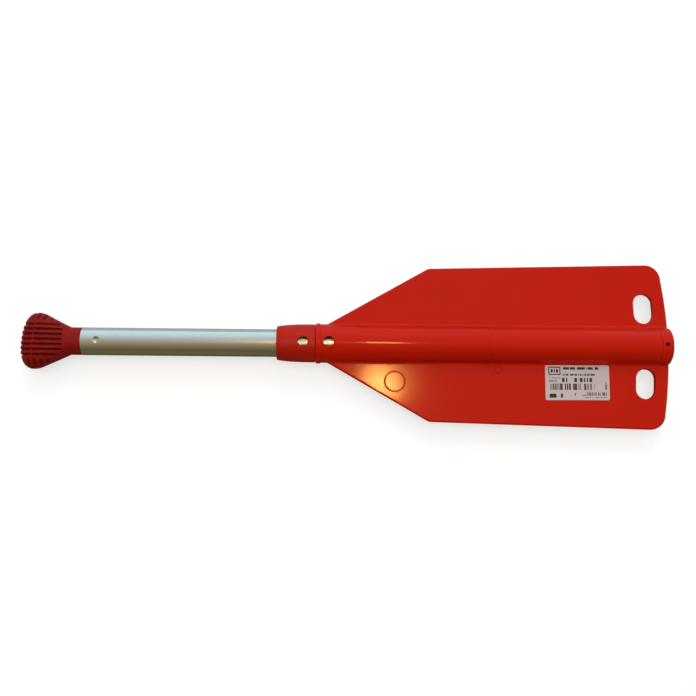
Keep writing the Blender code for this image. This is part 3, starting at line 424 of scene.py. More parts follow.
@dataclass(frozen=True)
class Finish:
    """A surface in two close tones that a cloudy pattern mixes, with the gloss and relief of its making."""

    name: str
    colour: str
    second_colour: str
    roughness: float
    roughness_spread: float = 0.0  # how much glossier than this the first tone is, and duller the second
    metallic: float = 0.0
    ior: float = 1.5
    specular_level: float = 0.5
    pattern_pitch: float = 2.0 * MM
    pattern_detail: float = 3.0
    reliefs: tuple[Relief, ...] = (Relief(2.0 * MM, 0.02 * MM),)  # from the coarsest to the finest

    def pattern(self, tree: bpy.types.NodeTree, place_of: bpy.types.NodeSocket) -> bpy.types.NodeSocket:
        """Nodes for how much of the second tone a point has.

        Args:
            tree: The material's tree.
            place_of: The point's place in the part's frame.

        Returns:
            A socket with the share, from 0 to 1.
        """
        cloud = add_node(tree, "ShaderNodeTexNoise", {
            "Scale": 1 / self.pattern_pitch, "Detail": self.pattern_detail,
        }, {"Vector": place_of})
        return cloud.outputs["Fac"]

    def tone(self, tree: bpy.types.NodeTree, share: bpy.types.NodeSocket) -> bpy.types.NodeSocket:
        """Nodes for the surface's colour.

        Args:
            tree: The material's tree.
            share: How much of the second tone a point has.

        Returns:
            A socket with the colour.
        """
        mixed = add_node(tree, "ShaderNodeMix", {
            "data_type": "RGBA",
            MIX_FIRST: linear_colour(self.colour),
            MIX_SECOND: linear_colour(self.second_colour),
        }, {MIX_SHARE: share})
        return mixed.outputs[MIX_RESULT]

    def build(self) -> bpy.types.Material:
        """Make the material.

        Returns:
            The material.
        """
        material, shader, place_of = new_surface(self.name, {
            "IOR": self.ior,
            "Metallic": self.metallic,
            "Roughness": self.roughness,
            "Specular IOR Level": self.specular_level,
        })
        tree = material.node_tree
        share = self.pattern(tree, place_of)
        tree.links.new(self.tone(tree, share), shader.inputs["Base Color"])
        if self.roughness_spread:
            gloss = add_node(tree, "ShaderNodeMapRange", {
                "To Min": self.roughness - self.roughness_spread,
                "To Max": self.roughness + self.roughness_spread,
            }, {"Value": share})
            tree.links.new(gloss.outputs["Result"], shader.inputs["Roughness"])
        under = {}
        for relief in self.reliefs:
            noise = add_node(tree, "ShaderNodeTexNoise", {"Scale": 1 / relief.pitch, "Detail": relief.detail},
                             {"Vector": place_of})
            bump = add_node(tree, "ShaderNodeBump", {"Distance": relief.depth, "Strength": 1.0},
                            {"Height": noise.outputs["Fac"], **under})
            under = {"Normal": bump.outputs["Normal"]}
        for key, normal in under.items():
            tree.links.new(normal, shader.inputs[key])
        return material


@dataclass(frozen=True)
class MouldedPolyethylene(Finish):
    """Injection-moulded high-density polyethylene: waxy gloss over an even, deep colour, with faint flow."""

    name: str = "moulded_polyethylene_red"
    colour: str = "BE1904"
    second_colour: str = "B51603"
    roughness: float = 0.11
    roughness_spread: float = 0.015
    specular_level: float = 0.15  # the waxy skin mirrors less than its index says
    pattern_pitch: float = 45.0 * MM  # the soft cloudiness left by the melt's flow
    reliefs: tuple[Relief, ...] = (
        Relief(30.0 * MM, 0.07 * MM, 0.0),  # the slow waves that shrinkage leaves in a flat moulding
        Relief(1.6 * MM, 0.003 * MM, 1.0),  # the skin's orange peel
    )


@dataclass(frozen=True)
class SoftVinyl(Finish):
    """Plasticised vinyl, dip-soft and moulded in a blasted tool: a deep matt red with a fine grained skin."""

    name: str = "soft_moulded_vinyl_dark_red"
    colour: str = "7E0E0B"
    second_colour: str = "861410"  # where hands have worn it
    # Painted shade: the grooves' floors get this darker colour for the shade that falls in them, with some
    # grime
    groove_shade_and_grime_colour: str = "520303"  # grime and deep shade that stay in the grooves
    roughness: float = 0.4
    ior: float = 1.53
    specular_level: float = 0.1  # plasticiser on the skin dulls it
    pattern_pitch: float = 12.0 * MM
    pattern_detail: float = 4.0
    reliefs: tuple[Relief, ...] = (Relief(0.9 * MM, 0.02 * MM, 2.0),)  # a finer grain doesn't show

    def tone(self, tree: bpy.types.NodeTree, share: bpy.types.NodeSocket) -> bpy.types.NodeSocket:
        """Nodes for the surface's colour, with painted shade and some grime darkening the grooves' floors.

        Args:
            tree: The material's tree.
            share: How much of the second tone a point has.

        Returns:
            A socket with the colour.
        """
        groove = add_node(tree, "ShaderNodeAttribute", {"attribute_name": GROOVE_ATTRIBUTE})
        shaded = add_node(tree, "ShaderNodeMix", {
            "data_type": "RGBA", MIX_SECOND: linear_colour(self.groove_shade_and_grime_colour),
        }, {MIX_SHARE: groove.outputs["Fac"], MIX_FIRST: super().tone(tree, share)})
        return shaded.outputs[MIX_RESULT]


@dataclass(frozen=True)
class AnodisedAluminium(Finish):
    """Drawn tube, etched and clear anodised: a silver satin with faint lines left by the drawing die."""

    name: str = "satin_anodised_aluminium"
    colour: str = "E6E8E7"
    second_colour: str = "DADDDC"
    roughness: float = 0.24
    roughness_spread: float = 0.04
    metallic: float = 1.0
    pattern_pitch: float = 1.0 * MM  # between lines; the real ones are finer than the image shows
    line_length: float = 70.0 * MM
    reliefs: tuple[Relief, ...] = ()

    def pattern(self, tree: bpy.types.NodeTree, place_of: bpy.types.NodeSocket) -> bpy.types.NodeSocket:
        """Nodes for the drawing lines, which run along the tube.

        Args:
            tree: The material's tree.
            place_of: The point's place in the part's frame.

        Returns:
            A socket with the share of the second tone, from 0 to 1.
        """
        across = 1 / self.pattern_pitch
        stretched = add_node(tree, "ShaderNodeMapping", {"Scale": (1 / self.line_length, across, across)},
                             {"Vector": place_of})
        lines = add_node(tree, "ShaderNodeTexNoise", {"Scale": 1.0, "Detail": self.pattern_detail},
                         {"Vector": stretched.outputs["Vector"]})
        return lines.outputs["Fac"]


@dataclass(frozen=True)
class PrintRow:
    """One line of generic print: dark dashes of random width inside a box, in millimetres of the label."""

    left: float
    right: float
    low: float
    high: float
    pitch: float  # of the narrowest dash; 0 fills the box
    inked: float = 1.0  # the share of dashes that are printed
    upright: bool = False  # True cuts the dashes across the label's height
    darkness: float = 1.0


@dataclass(frozen=True, kw_only=True)
class PrintedPaper(Finish):
    """Coated label paper, thermally printed: warm off-white with a faint sheen and dark grey-brown marks."""

    corner: Point3
    turn: float
    rows: tuple[PrintRow, ...]
    row_shift: float = 17.3  # along the noise, from one row's random dashes to the next row's
    name: str = "thermal_printed_label_paper"
    colour: str = "BCACAC"
    second_colour: str = "1E1614"  # the print
    roughness: float = 0.45
    reliefs: tuple[Relief, ...] = (Relief(0.8 * MM, 0.01 * MM, 2.0),)  # the paper's fibres

    def row_mask(self, tree: bpy.types.NodeTree, along: bpy.types.NodeSocket, up: bpy.types.NodeSocket,
                 row: PrintRow, seed: int) -> bpy.types.NodeSocket:
        """Nodes for one row of print.

        Args:
            tree: The material's tree.
            along: The place along the label, in millimetres.
            up: The place across the label, in millimetres.
            row: The row.
            seed: A number that tells this row's dashes from the others'.

        Returns:
            A socket that is the row's darkness where it is inked, and 0 elsewhere.
        """
        limits = []
        for place_on, low, high in ((along, row.left, row.right), (up, row.low, row.high)):
            limits.append(add_node(tree, "ShaderNodeMath", {
                "operation": "COMPARE", 1: (low + high) / 2, 2: (high - low) / 2,
            }, {0: place_on}))
        if row.pitch:
            cell = add_node(tree, "ShaderNodeMath", {"operation": "SNAP", 1: row.pitch},
                            {0: up if row.upright else along})
            shifted = add_node(tree, "ShaderNodeMath", {"operation": "ADD", 1: self.row_shift * seed},
                               {0: cell.outputs[0]})
            chance = add_node(tree, "ShaderNodeTexWhiteNoise", {"noise_dimensions": "1D"},
                              {"W": shifted.outputs[0]})
            limits.append(add_node(tree, "ShaderNodeMath", {"operation": "LESS_THAN", 1: row.inked},
                                   {0: chance.outputs["Value"]}))
        mask = limits[0]
        for limit in limits[1:]:
            mask = add_node(tree, "ShaderNodeMath", {"operation": "MULTIPLY"},
                            {0: mask.outputs[0], 1: limit.outputs[0]})
        dark = add_node(tree, "ShaderNodeMath", {"operation": "MULTIPLY", 1: row.darkness},
                        {0: mask.outputs[0]})
        return dark.outputs[0]

    def pattern(self, tree: bpy.types.NodeTree, place_of: bpy.types.NodeSocket) -> bpy.types.NodeSocket:
        """Nodes for the print, in millimetres from the label's corner.

        Args:
            tree: The material's tree.
            place_of: The point's place in the part's frame.

        Returns:
            A socket that is 0 on bare paper and up to 1 on print.
        """
        on_label = add_node(tree, "ShaderNodeMapping", {
            "vector_type": "TEXTURE",
            "Location": self.corner,
            "Rotation": (0.0, 0.0, self.turn),
            "Scale": (MM, MM, MM),
        }, {"Vector": place_of})
        parts = add_node(tree, "ShaderNodeSeparateXYZ", links={0: on_label.outputs["Vector"]})
        masks = [self.row_mask(tree, parts.outputs["X"], parts.outputs["Y"], row, seed)
                 for seed, row in enumerate(self.rows, start=1)]
        ink = masks[0]
        for mask in masks[1:]:
            ink = add_node(tree, "ShaderNodeMath", {"operation": "MAXIMUM"}, {0: ink, 1: mask}).outputs[0]
        return ink


@dataclass(frozen=True)
class LockHole:
    """A round hole for the lock button, with a rounded rim."""

    x: float
    radius: float = 5.0 * MM
    rim: float = 0.9 * MM
    cut_from: float = 10.0 * MM  # how near the shaft's axis the cutter starts
    steps: int = 64
    rim_steps: int = 8

    def cutter(self, surface: float) -> bmesh.types.BMesh:
        """The hole's cutter, which opens at the surface so that the rim comes out rounded.

        Args:
            surface: The radius of the surface that the hole is cut in.

        Returns:
            The cutter.
        """
        outline = [(self.cut_from, 0.0), (self.cut_from, self.radius), (surface - self.rim, self.radius)]
        outline += arc_points((surface - self.rim, self.radius + self.rim), self.rim, -math.pi / 2, 0.0,
                              self.rim_steps)[1:]
        outline += [(surface + self.rim, self.radius + self.rim), (surface + self.rim, 0.0)]
        bm = turned(outline, self.steps, Axis.UPRIGHT)
        bmesh.ops.translate(bm, verts=bm.verts[:], vec=(self.x, 0.0, 0.0))
        return bm


@dataclass
class SpinedBlade:
    """The blade: a flat tapered plate on a hollow round spine, with a beaded mouth, in one moulding."""

    layout: Layout
    finish: MouldedPolyethylene

    shoulder_half_width: float = 78.4 * MM
    shoulder_x: float = 114.6 * MM
    tip_half_width: float = 84.9 * MM
    tip_corner_x: float = 351.0 * MM
    end_arc_radius: float = 450.0 * MM
    flare_start_x: float = 12.0 * MM
    shoulder_corner_radius: float = 9.0 * MM
    tip_corner_radius: float = 16.0 * MM
    shoulder_steps: int = 12
    tip_steps: int = 24
    end_steps: int = 24

    root_thickness: float = 7.0 * MM
    edge_thickness: float = 4.4 * MM
    edge_rounding: float = 1.8 * MM
    edge_steps: int = 8
    spine_radius: float = 19.05 * MM
    bore_radius: float = 16.5 * MM
    spine_end_x: float = 347.0 * MM
    bay_overrun: float = 30.0 * MM  # how far past the spine's end the plug's bay is cut clear

    fillet_radius: float = 3.0 * MM
    fillet_steps: int = 12
    web_start: float = 0.2  # the web's radius where it starts, as a share of the fillet's
    web_growth_steps: int = 8
    web_in_plate: float = 0.5  # how high the web's outer points lie in the plate, as a share of its half
    web_in_wall: float = 0.96  # how near the spine's skin its inner points lie, as a share of the radius
    web_core: Point2 = (0.6, 0.5)  # its innermost points, as shares of the spine's radius and their height

    neck_radius: float = 19.6 * MM
    neck_blend_end_x: float = 22.0 * MM
    neck_blend_steps: int = 6
    bead_radius: float = 20.4 * MM
    bead_start_x: float = 0.5 * MM
    bead_width: float = 4.6 * MM
    bead_fullness: float = 1.3  # above 1, the bead's crown is flat
    bead_steps: int = 16
    mouth_easing: float = 0.5  # how far the mouth's edge is drawn in, as a share of the bead's height
    mouth_radius: float = 18.3 * MM
    mouth_depth: float = 7.5 * MM

    lock: LockHole = LockHole(13.6 * MM)
    boss_radius: float = 7.5 * MM
    boss_height: float = 0.55 * MM
    boss_edge: float = 0.3 * MM
    boss_edge_steps: int = 5
    boss_root: float = 0.5 * MM  # how far outside the bore the pad starts
    boss_crown: tuple[float, ...] = (0.6, 0.3, 0.02)  # rings on the pad's crown, as shares of its radius

    slot_x: float = 334.3 * MM
    slot_y: float = 38.5 * MM
    slot_width: float = 19.4 * MM
    slot_length: float = 30.4 * MM
    slot_lean_deg: float = 2.6
    slot_rim: float = 1.1 * MM
    slot_end_steps: int = 28
    slot_rim_steps: int = 8

    medallion_x: float = 80.2 * MM
    medallion_y: float = -38.0 * MM
    medallion_radius: float = 11.0 * MM
    medallion_rib: float = 1.7 * MM
    gate_x: float = 185.0 * MM
    gate_y: float = -24.7 * MM
    gate_radius: float = 4.3 * MM
    gate_rib: float = 1.2 * MM
    mark_height: float = 0.7 * MM
    mark_steps: int = 8

    insert_line_x: float = 174.6 * MM  # where two inserts of the mould met on the spine
    insert_line_bow: float = 6.5 * MM
    insert_line_slant: float = 1.3 * MM
    insert_line_width: float = 1.8 * MM
    insert_line_height: float = 0.5 * MM
    insert_line_sides: int = 8

    round_steps: int = 160
    cut_steps: int = 64
    overrun: float = 3.0 * MM  # how far a cutter or a joined bar runs past what it meets
    sharp_above_deg: float = 35.0

    def half_thickness(self, y: float) -> float:
        """Half the plate's thickness at a distance from the axis: it tapers evenly from spine to edge.

        Args:
            y: The distance from the axis.

        Returns:
            Half the thickness there.
        """
        share = max(0.0, y - self.spine_radius) / (self.tip_half_width - self.spine_radius)
        return (self.root_thickness + (self.edge_thickness - self.root_thickness) * share) / 2

    def flare_slope(self) -> float:
        """How fast the blade widens along its flare."""
        return (self.shoulder_half_width - self.neck_radius) / (self.shoulder_x - self.flare_start_x)

    def plan(self) -> list[Point2]:
        """The blade in plan as (x, y) points, once round, with rounded shoulders and tip corners.

        Returns:
            The outline's points.
        """
        inside = self.bore_radius - self.edge_rounding
        neck = (self.flare_start_x - (self.neck_radius - inside) / self.flare_slope(), inside)
        shoulder = (self.shoulder_x, self.shoulder_half_width)
        tip = (self.tip_corner_x, self.tip_half_width)
        reach = math.sqrt(self.end_arc_radius**2 - self.tip_half_width**2)
        arc_centre_x = self.tip_corner_x - reach
        slope = math.asin(self.tip_half_width / self.end_arc_radius)
        inward = (tip[0] + math.sin(slope), tip[1] - math.cos(slope))
        side = [neck]
        side += round_corner(neck, shoulder, tip, self.shoulder_corner_radius, self.shoulder_steps)
        side += round_corner(shoulder, tip, inward, self.tip_corner_radius, self.tip_steps)
        last_y = side[-1][1]
        for step in range(1, self.end_steps + 1):
            y = last_y * (1 - step / self.end_steps)
            side.append((arc_centre_x + math.sqrt(self.end_arc_radius**2 - y * y), y))
        return side + [(x, -y) for x, y in side[-2::-1]]

    def plate(self) -> bmesh.types.BMesh:
        """The flat of the blade: thick at the spine, thin at a rounded edge.

        Returns:
            The plate.
        """
        bm = bmesh.new()
        half = self.edge_thickness / 2
        floor = bm.faces.new([bm.verts.new((x, y, -half)) for x, y in self.plan()])
        grown = bmesh.ops.extrude_face_region(bm, geom=[floor])
        lifted = [item for item in grown["geom"] if isinstance(item, bmesh.types.BMVert)]
        bmesh.ops.translate(bm, verts=lifted, vec=(0, 0, 2 * half))
        rim = [edge for edge in bm.edges if abs(edge.verts[0].co.z - edge.verts[1].co.z) < NO_LENGTH]
        bmesh.ops.bevel(
            bm, geom=rim, offset=self.edge_rounding, offset_type="OFFSET", segments=self.edge_steps,
            profile=0.5, affect="EDGES", clamp_overlap=True,
        )
        for y in (-self.spine_radius, self.spine_radius):
            bmesh.ops.bisect_plane(
                bm, geom=bm.verts[:] + bm.edges[:] + bm.faces[:], plane_co=(0, y, 0), plane_no=(0, 1, 0)
            )
        for vertex in bm.verts:
            vertex.co.z *= self.half_thickness(abs(vertex.co.y)) / half
        return bm

    def spine_bar(self) -> bmesh.types.BMesh:
        """The outside of the spine as a solid bar: mouth bead, neck and barrel.

        Returns:
            The bar.
        """
        start = SEAT_GAP / 2
        bead_height = self.bead_radius - self.neck_radius
        profile = [
            (start, 0.0),
            (start, self.neck_radius - self.mouth_easing * bead_height),
            (self.bead_start_x, self.neck_radius),
        ]
        for step in range(1, self.bead_steps):
            angle = math.pi * step / self.bead_steps
            along = self.bead_start_x + self.bead_width * (1 - math.cos(angle)) / 2
            rise = min(1.0, self.bead_fullness * math.sin(angle))
            profile.append((along, self.neck_radius + bead_height * rise))
        profile.append((self.bead_start_x + self.bead_width, self.neck_radius))
        profile.append((self.flare_start_x, self.neck_radius))
        for step in range(1, self.neck_blend_steps + 1):
            share = step / self.neck_blend_steps
            profile.append((
                self.flare_start_x + (self.neck_blend_end_x - self.flare_start_x) * share,
                self.neck_radius + (self.spine_radius - self.neck_radius) * eased(share),
            ))
        profile.append((self.spine_end_x + self.overrun, self.spine_radius))
        profile.append((self.spine_end_x + self.overrun, 0.0))
        return turned(profile, self.round_steps)

    def fillet_ring(self, x: float, radius: float, side: int) -> list[Point3]:
        """One section of the web that rounds the corner between spine and plate, above and below.

        Args:
            x: The section's place along the shaft.
            radius: The fillet's radius there.
            side: 1 for +Y, -1 for -Y.

        Returns:
            The section's points.
        """
        root_half = self.root_thickness / 2
        centre_z = root_half + radius
        centre_y = math.sqrt((self.spine_radius + radius) ** 2 - centre_z**2)
        on_spine = math.atan2(-centre_z, -centre_y)
        upper = arc_points((centre_y, centre_z), radius, -math.pi / 2, on_spine, self.fillet_steps)
        touch_y, touch_z = upper[-1]
        core_y, core_z = self.web_core
        half = [(upper[0][0], self.web_in_plate * root_half)] + upper
        half += [
            (self.web_in_wall * touch_y, self.web_in_wall * touch_z),
            (core_y * self.spine_radius, core_z * touch_z),
        ]
        ring = half + [(y, -z) for y, z in half[::-1]]
        return [(x, side * y, z) for y, z in ring]

    def fillet_web(self, side: int) -> bmesh.types.BMesh:
        """The web along one side of the spine. Its radius grows with the flare to its full size.

        Args:
            side: 1 for +Y, -1 for -Y.

        Returns:
            The web.
        """
        root_half = self.root_thickness / 2
        lift = 2 * (self.spine_radius - root_half)
        core = self.spine_radius**2 - root_half**2
        places = []
        for radius in (self.web_start * self.fillet_radius, self.fillet_radius):
            reach = math.sqrt(core + lift * radius) + self.edge_rounding
            places.append(self.flare_start_x + (reach - self.neck_radius) / self.flare_slope())
        rings = []
        for step in range(self.web_growth_steps + 1):
            x = places[0] + (places[1] - places[0]) * step / self.web_growth_steps
            reach = self.neck_radius + (x - self.flare_start_x) * self.flare_slope() - self.edge_rounding
            rings.append(self.fillet_ring(x, (reach**2 - core) / lift, side))
        rings.append(self.fillet_ring(self.tip_corner_x + self.edge_thickness, self.fillet_radius, side))
        return lofted(rings)

    def bore(self) -> bmesh.types.BMesh:
        """The spine's bore, with the collar's socket at the mouth and the plug's bay at the far end.

        Returns:
            The cutter.
        """
        bay_end = self.spine_end_x + self.bay_overrun
        bay_radius = self.spine_radius + SEAT_GAP
        profile = [
            (-self.overrun, 0.0),
            (-self.overrun, self.mouth_radius),
            (self.mouth_depth, self.mouth_radius),
            (self.mouth_depth, self.bore_radius),
            (self.spine_end_x, self.bore_radius),
            (self.spine_end_x, bay_radius),
            (bay_end, bay_radius),
            (bay_end, 0.0),
        ]
        return turned(profile, self.round_steps)

    def boss(self) -> bmesh.types.BMesh:
        """The raised pad round the lock hole, which follows the neck's round.

        Returns:
            The pad, closed, with its root inside the spine's wall.
        """
        crown = self.neck_radius + self.boss_height
        edge_centre = (self.boss_radius - self.boss_edge, crown - self.boss_edge)
        levels = [
            (self.boss_radius, self.bore_radius + self.boss_root),
            (self.boss_radius, self.neck_radius - self.boss_edge),
        ]
        levels += arc_points(edge_centre, self.boss_edge, 0.0, math.pi / 2, self.boss_edge_steps)
        levels += [(self.boss_radius * share, crown) for share in self.boss_crown]
        rings = []
        for radius, height in levels:
            ring = []
            for angle in full_turn(self.cut_steps):
                y = radius * math.sin(angle)
                ring.append((self.lock.x + radius * math.cos(angle), y, math.sqrt(height**2 - y * y)))
            rings.append(ring)
        return lofted(rings)

    def slot_ring(self, offset: float, z: float, side: int) -> list[Point3]:
        """A round-ended slot outline at one height, grown by an offset.

        Args:
            offset: How far the outline is grown.
            z: Its height.
            side: 1 for +Y, -1 for -Y.

        Returns:
            The outline's points.
        """
        radius = self.slot_width / 2 + offset
        reach = (self.slot_length - self.slot_width) / 2
        outline = arc_points((0.0, reach), radius, 0.0, math.pi, self.slot_end_steps)
        outline += arc_points((0.0, -reach), radius, math.pi, 2 * math.pi, self.slot_end_steps)
        lean = Matrix.Rotation(side * math.radians(self.slot_lean_deg), 2)
        ring = []
        for point in outline:
            x, y = lean @ Vector(point)
            ring.append((self.slot_x + x, side * self.slot_y + y, z))
        return ring

    def slot_cutter(self, side: int) -> bmesh.types.BMesh:
        """A slot's cutter, which opens towards both faces so that the rim comes out rounded.

        Args:
            side: 1 for +Y, -1 for -Y.

        Returns:
            The cutter.
        """
        face = self.half_thickness(self.slot_y)
        upper = arc_points((face - self.slot_rim, self.slot_rim), self.slot_rim, -math.pi / 2, 0.0,
                           self.slot_rim_steps)
        upper.append((face + self.overrun, self.slot_rim))
        levels = [(-along, out) for along, out in upper[::-1]] + upper
        return lofted([self.slot_ring(out, along, side) for along, out in levels])

    def mark(self, x: float, y: float, outer: float, rib: float) -> bmesh.types.BMesh:
        """A low round rib on the blade's face, rounded at its crown.

        Args:
            x: The mark's centre along the shaft.
            y: The mark's centre across the blade.
            outer: Its outer radius.
            rib: Its width.

        Returns:
            The rib.
        """
        surface = self.half_thickness(abs(y))
        profile = [(surface - self.mark_height, outer - rib), (surface - self.mark_height, outer)]
        for step in range(self.mark_steps + 1):
            angle = math.pi * step / self.mark_steps
            profile.append((surface + self.mark_height * math.sin(angle),
                            outer - rib * (1 - math.cos(angle)) / 2))
        bm = turned(profile, self.cut_steps, Axis.UPRIGHT)
        bmesh.ops.translate(bm, verts=bm.verts[:], vec=(x, y, 0.0))
        return bm

    def insert_line(self) -> bmesh.types.BMesh:
        """The low line round the spine where two inserts of the mould met, bowed and slanted a little.

        Returns:
            The line, as a closed rib round the whole spine.
        """
        rings = []
        section = [(math.cos(angle), math.sin(angle)) for angle in full_turn(self.insert_line_sides)]
        for angle in full_turn(self.round_steps):
            middle_x = self.insert_line_x + self.insert_line_bow * math.sin(angle) ** 2
            middle_x -= self.insert_line_slant * math.sin(angle)
            ring = []
            for along, out in section:
                x = middle_x + along * self.insert_line_width / 2
                radius = self.spine_radius + out * self.insert_line_height
                ring.append((x, radius * math.sin(angle), radius * math.cos(angle)))
            rings.append(ring)
        return lofted(rings, closed=True)

    def build(self) -> bpy.types.Object:
        """Mould the blade and dress it.

        Returns:
            The finished piece.
        """
        blade = add_object("blade_moulding", self.plate())
        carving = Carving(blade)
        carving.apply(self.spine_bar(), "UNION")
        for side in (1, -1):
            carving.apply(self.fillet_web(side), "UNION")
        carving.apply(self.boss(), "UNION")
        carving.apply(merged([
            self.mark(self.medallion_x, self.medallion_y, self.medallion_radius, self.medallion_rib),
            self.mark(self.gate_x, self.gate_y, self.gate_radius, self.gate_rib),
        ]), "UNION")
        carving.apply(self.insert_line(), "UNION")
        carving.apply(self.bore(), "DIFFERENCE", Solver.MANIFOLD)
        carving.apply(self.lock.cutter(self.neck_radius + self.boss_height), "DIFFERENCE", Solver.MANIFOLD)
        carving.apply(merged([self.slot_cutter(1), self.slot_cutter(-1)]), "DIFFERENCE", Solver.MANIFOLD)
        carving.freeze()
        place(blade, self.layout)
        dress(blade, self.finish.build(), self.sharp_above_deg)
        join_to_part(blade, "blade_body", ("blade",))
        return blade


@dataclass
class NeckCollar:
    """The barrel-shaped bush in the spine's mouth, with its own lock hole."""

    layout: Layout
    finish: MouldedPolyethylene

    length: float = 38.9 * MM
    largest_radius: float = 19.25 * MM
    end_radius: float = 17.1 * MM
    barrel_power: float = 3.0
    barrel_steps: int = 24
    edge_radius: float = 1.2 * MM
    edge_steps: int = 8
    seam_radius: float = 0.4 * MM
    seam_steps: int = 5
    land_radius: float = 14.3 * MM
    lead_in: float = 0.8 * MM
    spigot_radius: float = 18.0 * MM
    spigot_length: float = 7.2 * MM
    relief_radius: float = 16.5 * MM
    shoulder_x: float = -21.5 * MM
    lock: LockHole = LockHole(-12.2 * MM)
    round_steps: int = 160
    sharp_above_deg: float = 35.0

    def outer_radius(self, x: float) -> float:
        """The barrel's radius at a place along the shaft."""
        narrowing = (self.largest_radius - self.end_radius) * (-x / self.length) ** self.barrel_power
        return self.largest_radius - narrowing

    def profile(self) -> list[Point2]:
        """The collar's section, once round.

        Returns:
            Points as (along, radius).
        """
        left = -self.length
        right = -SEAT_GAP / 2
        edge = self.edge_radius
        barrel_x = left + edge
        points = [(left, self.land_radius + self.lead_in)]
        points += arc_points((barrel_x, self.outer_radius(barrel_x) - edge), edge, math.pi, math.pi / 2,
                             self.edge_steps)
        for step in range(1, self.barrel_steps):
            x = barrel_x * (1 - step / self.barrel_steps)
            points.append((x, self.outer_radius(x)))
        points += arc_points((right - self.seam_radius, self.largest_radius - self.seam_radius),
                             self.seam_radius, math.pi / 2, 0.0, self.seam_steps)
        points += [
            (right, self.spigot_radius),
            (self.spigot_length, self.spigot_radius),
            (self.spigot_length, self.relief_radius),
            (self.shoulder_x, self.relief_radius),
            (self.shoulder_x, self.land_radius),
            (left + self.lead_in, self.land_radius),
        ]
        return points

    def build(self) -> bpy.types.Object:
        """Mould the collar and dress it.

        Returns:
            The finished piece.
        """
        collar = add_object("collar_moulding", turned(self.profile(), self.round_steps))
        carving = Carving(collar)
        carving.apply(self.lock.cutter(self.outer_radius(self.lock.x)), "DIFFERENCE", Solver.MANIFOLD)
        carving.freeze()
        place(collar, self.layout)
        dress(collar, self.finish.build(), self.sharp_above_deg)
        join_to_part(collar, "blade_body", ("neck_collar",))
        return collar


@dataclass
class TipPlug:
    """The domed cup that closes the spine's far end, drained by one hole."""

    layout: Layout
    finish: MouldedPolyethylene

    start_x: float = 347.3 * MM
    radius: float = 19.05 * MM
    rim_radius: float = 0.35 * MM
    rim_steps: int = 4
    dome_start_x: float = 357.2 * MM
    end_x: float = 360.4 * MM
    dome_power: float = 3.0
    dome_steps: int = 28
    spigot_length: float = 12.0 * MM
    spigot_radius: float = 16.2 * MM
    wall: float = 3.2 * MM
    drain_x: float = 352.0 * MM
    drain_radius: float = 2.0 * MM
    drain_chamfer: float = 0.4 * MM  # how deep under the skin the drain starts to widen
    drain_overrun: float = 1.0 * MM  # how far past the skin its cutter runs, and how much wider it is there
    drain_steps: int = 40
    round_steps: int = 160
    sharp_above_deg: float = 35.0

    def build(self) -> bpy.types.Object:
        """Mould the plug and dress it.

        Returns:
            The finished piece.
        """
        inner_x = self.start_x - self.spigot_length
        cavity = self.spigot_radius - self.wall
        cavity_end = self.dome_start_x - self.wall / 2
        profile = [(inner_x, cavity), (inner_x, self.spigot_radius), (self.start_x, self.spigot_radius)]
        profile += arc_points((self.start_x + self.rim_radius, self.radius - self.rim_radius),
                              self.rim_radius, math.pi, math.pi / 2, self.rim_steps)
        dome_depth = self.end_x - self.dome_start_x
        roundness = 2 / self.dome_power
        for step in range(self.dome_steps):
            angle = math.pi / 2 * step / self.dome_steps
            along = self.dome_start_x + dome_depth * math.sin(angle) ** roundness
            profile.append((along, self.radius * math.cos(angle) ** roundness))
        profile += [(self.end_x, 0.0), (cavity_end, 0.0), (cavity_end, cavity)]
        plug = add_object("plug_moulding", turned(profile, self.round_steps))
        outside = self.radius + self.drain_overrun
        drain = turned([
            (cavity / 2, 0.0),
            (cavity / 2, self.drain_radius),
            (self.radius - self.drain_chamfer, self.drain_radius),
            (outside, self.drain_radius + self.drain_overrun),
            (outside, 0.0),
        ], self.drain_steps, Axis.UPRIGHT)
        bmesh.ops.translate(drain, verts=drain.verts[:], vec=(self.drain_x, 0.0, 0.0))
        carving = Carving(plug)
        carving.apply(drain, "DIFFERENCE", Solver.MANIFOLD)
        carving.freeze()
        place(plug, self.layout)
        dress(plug, self.finish.build(), self.sharp_above_deg)
        join_to_part(plug, "blade_body", ("tip_plug",))
        return plug


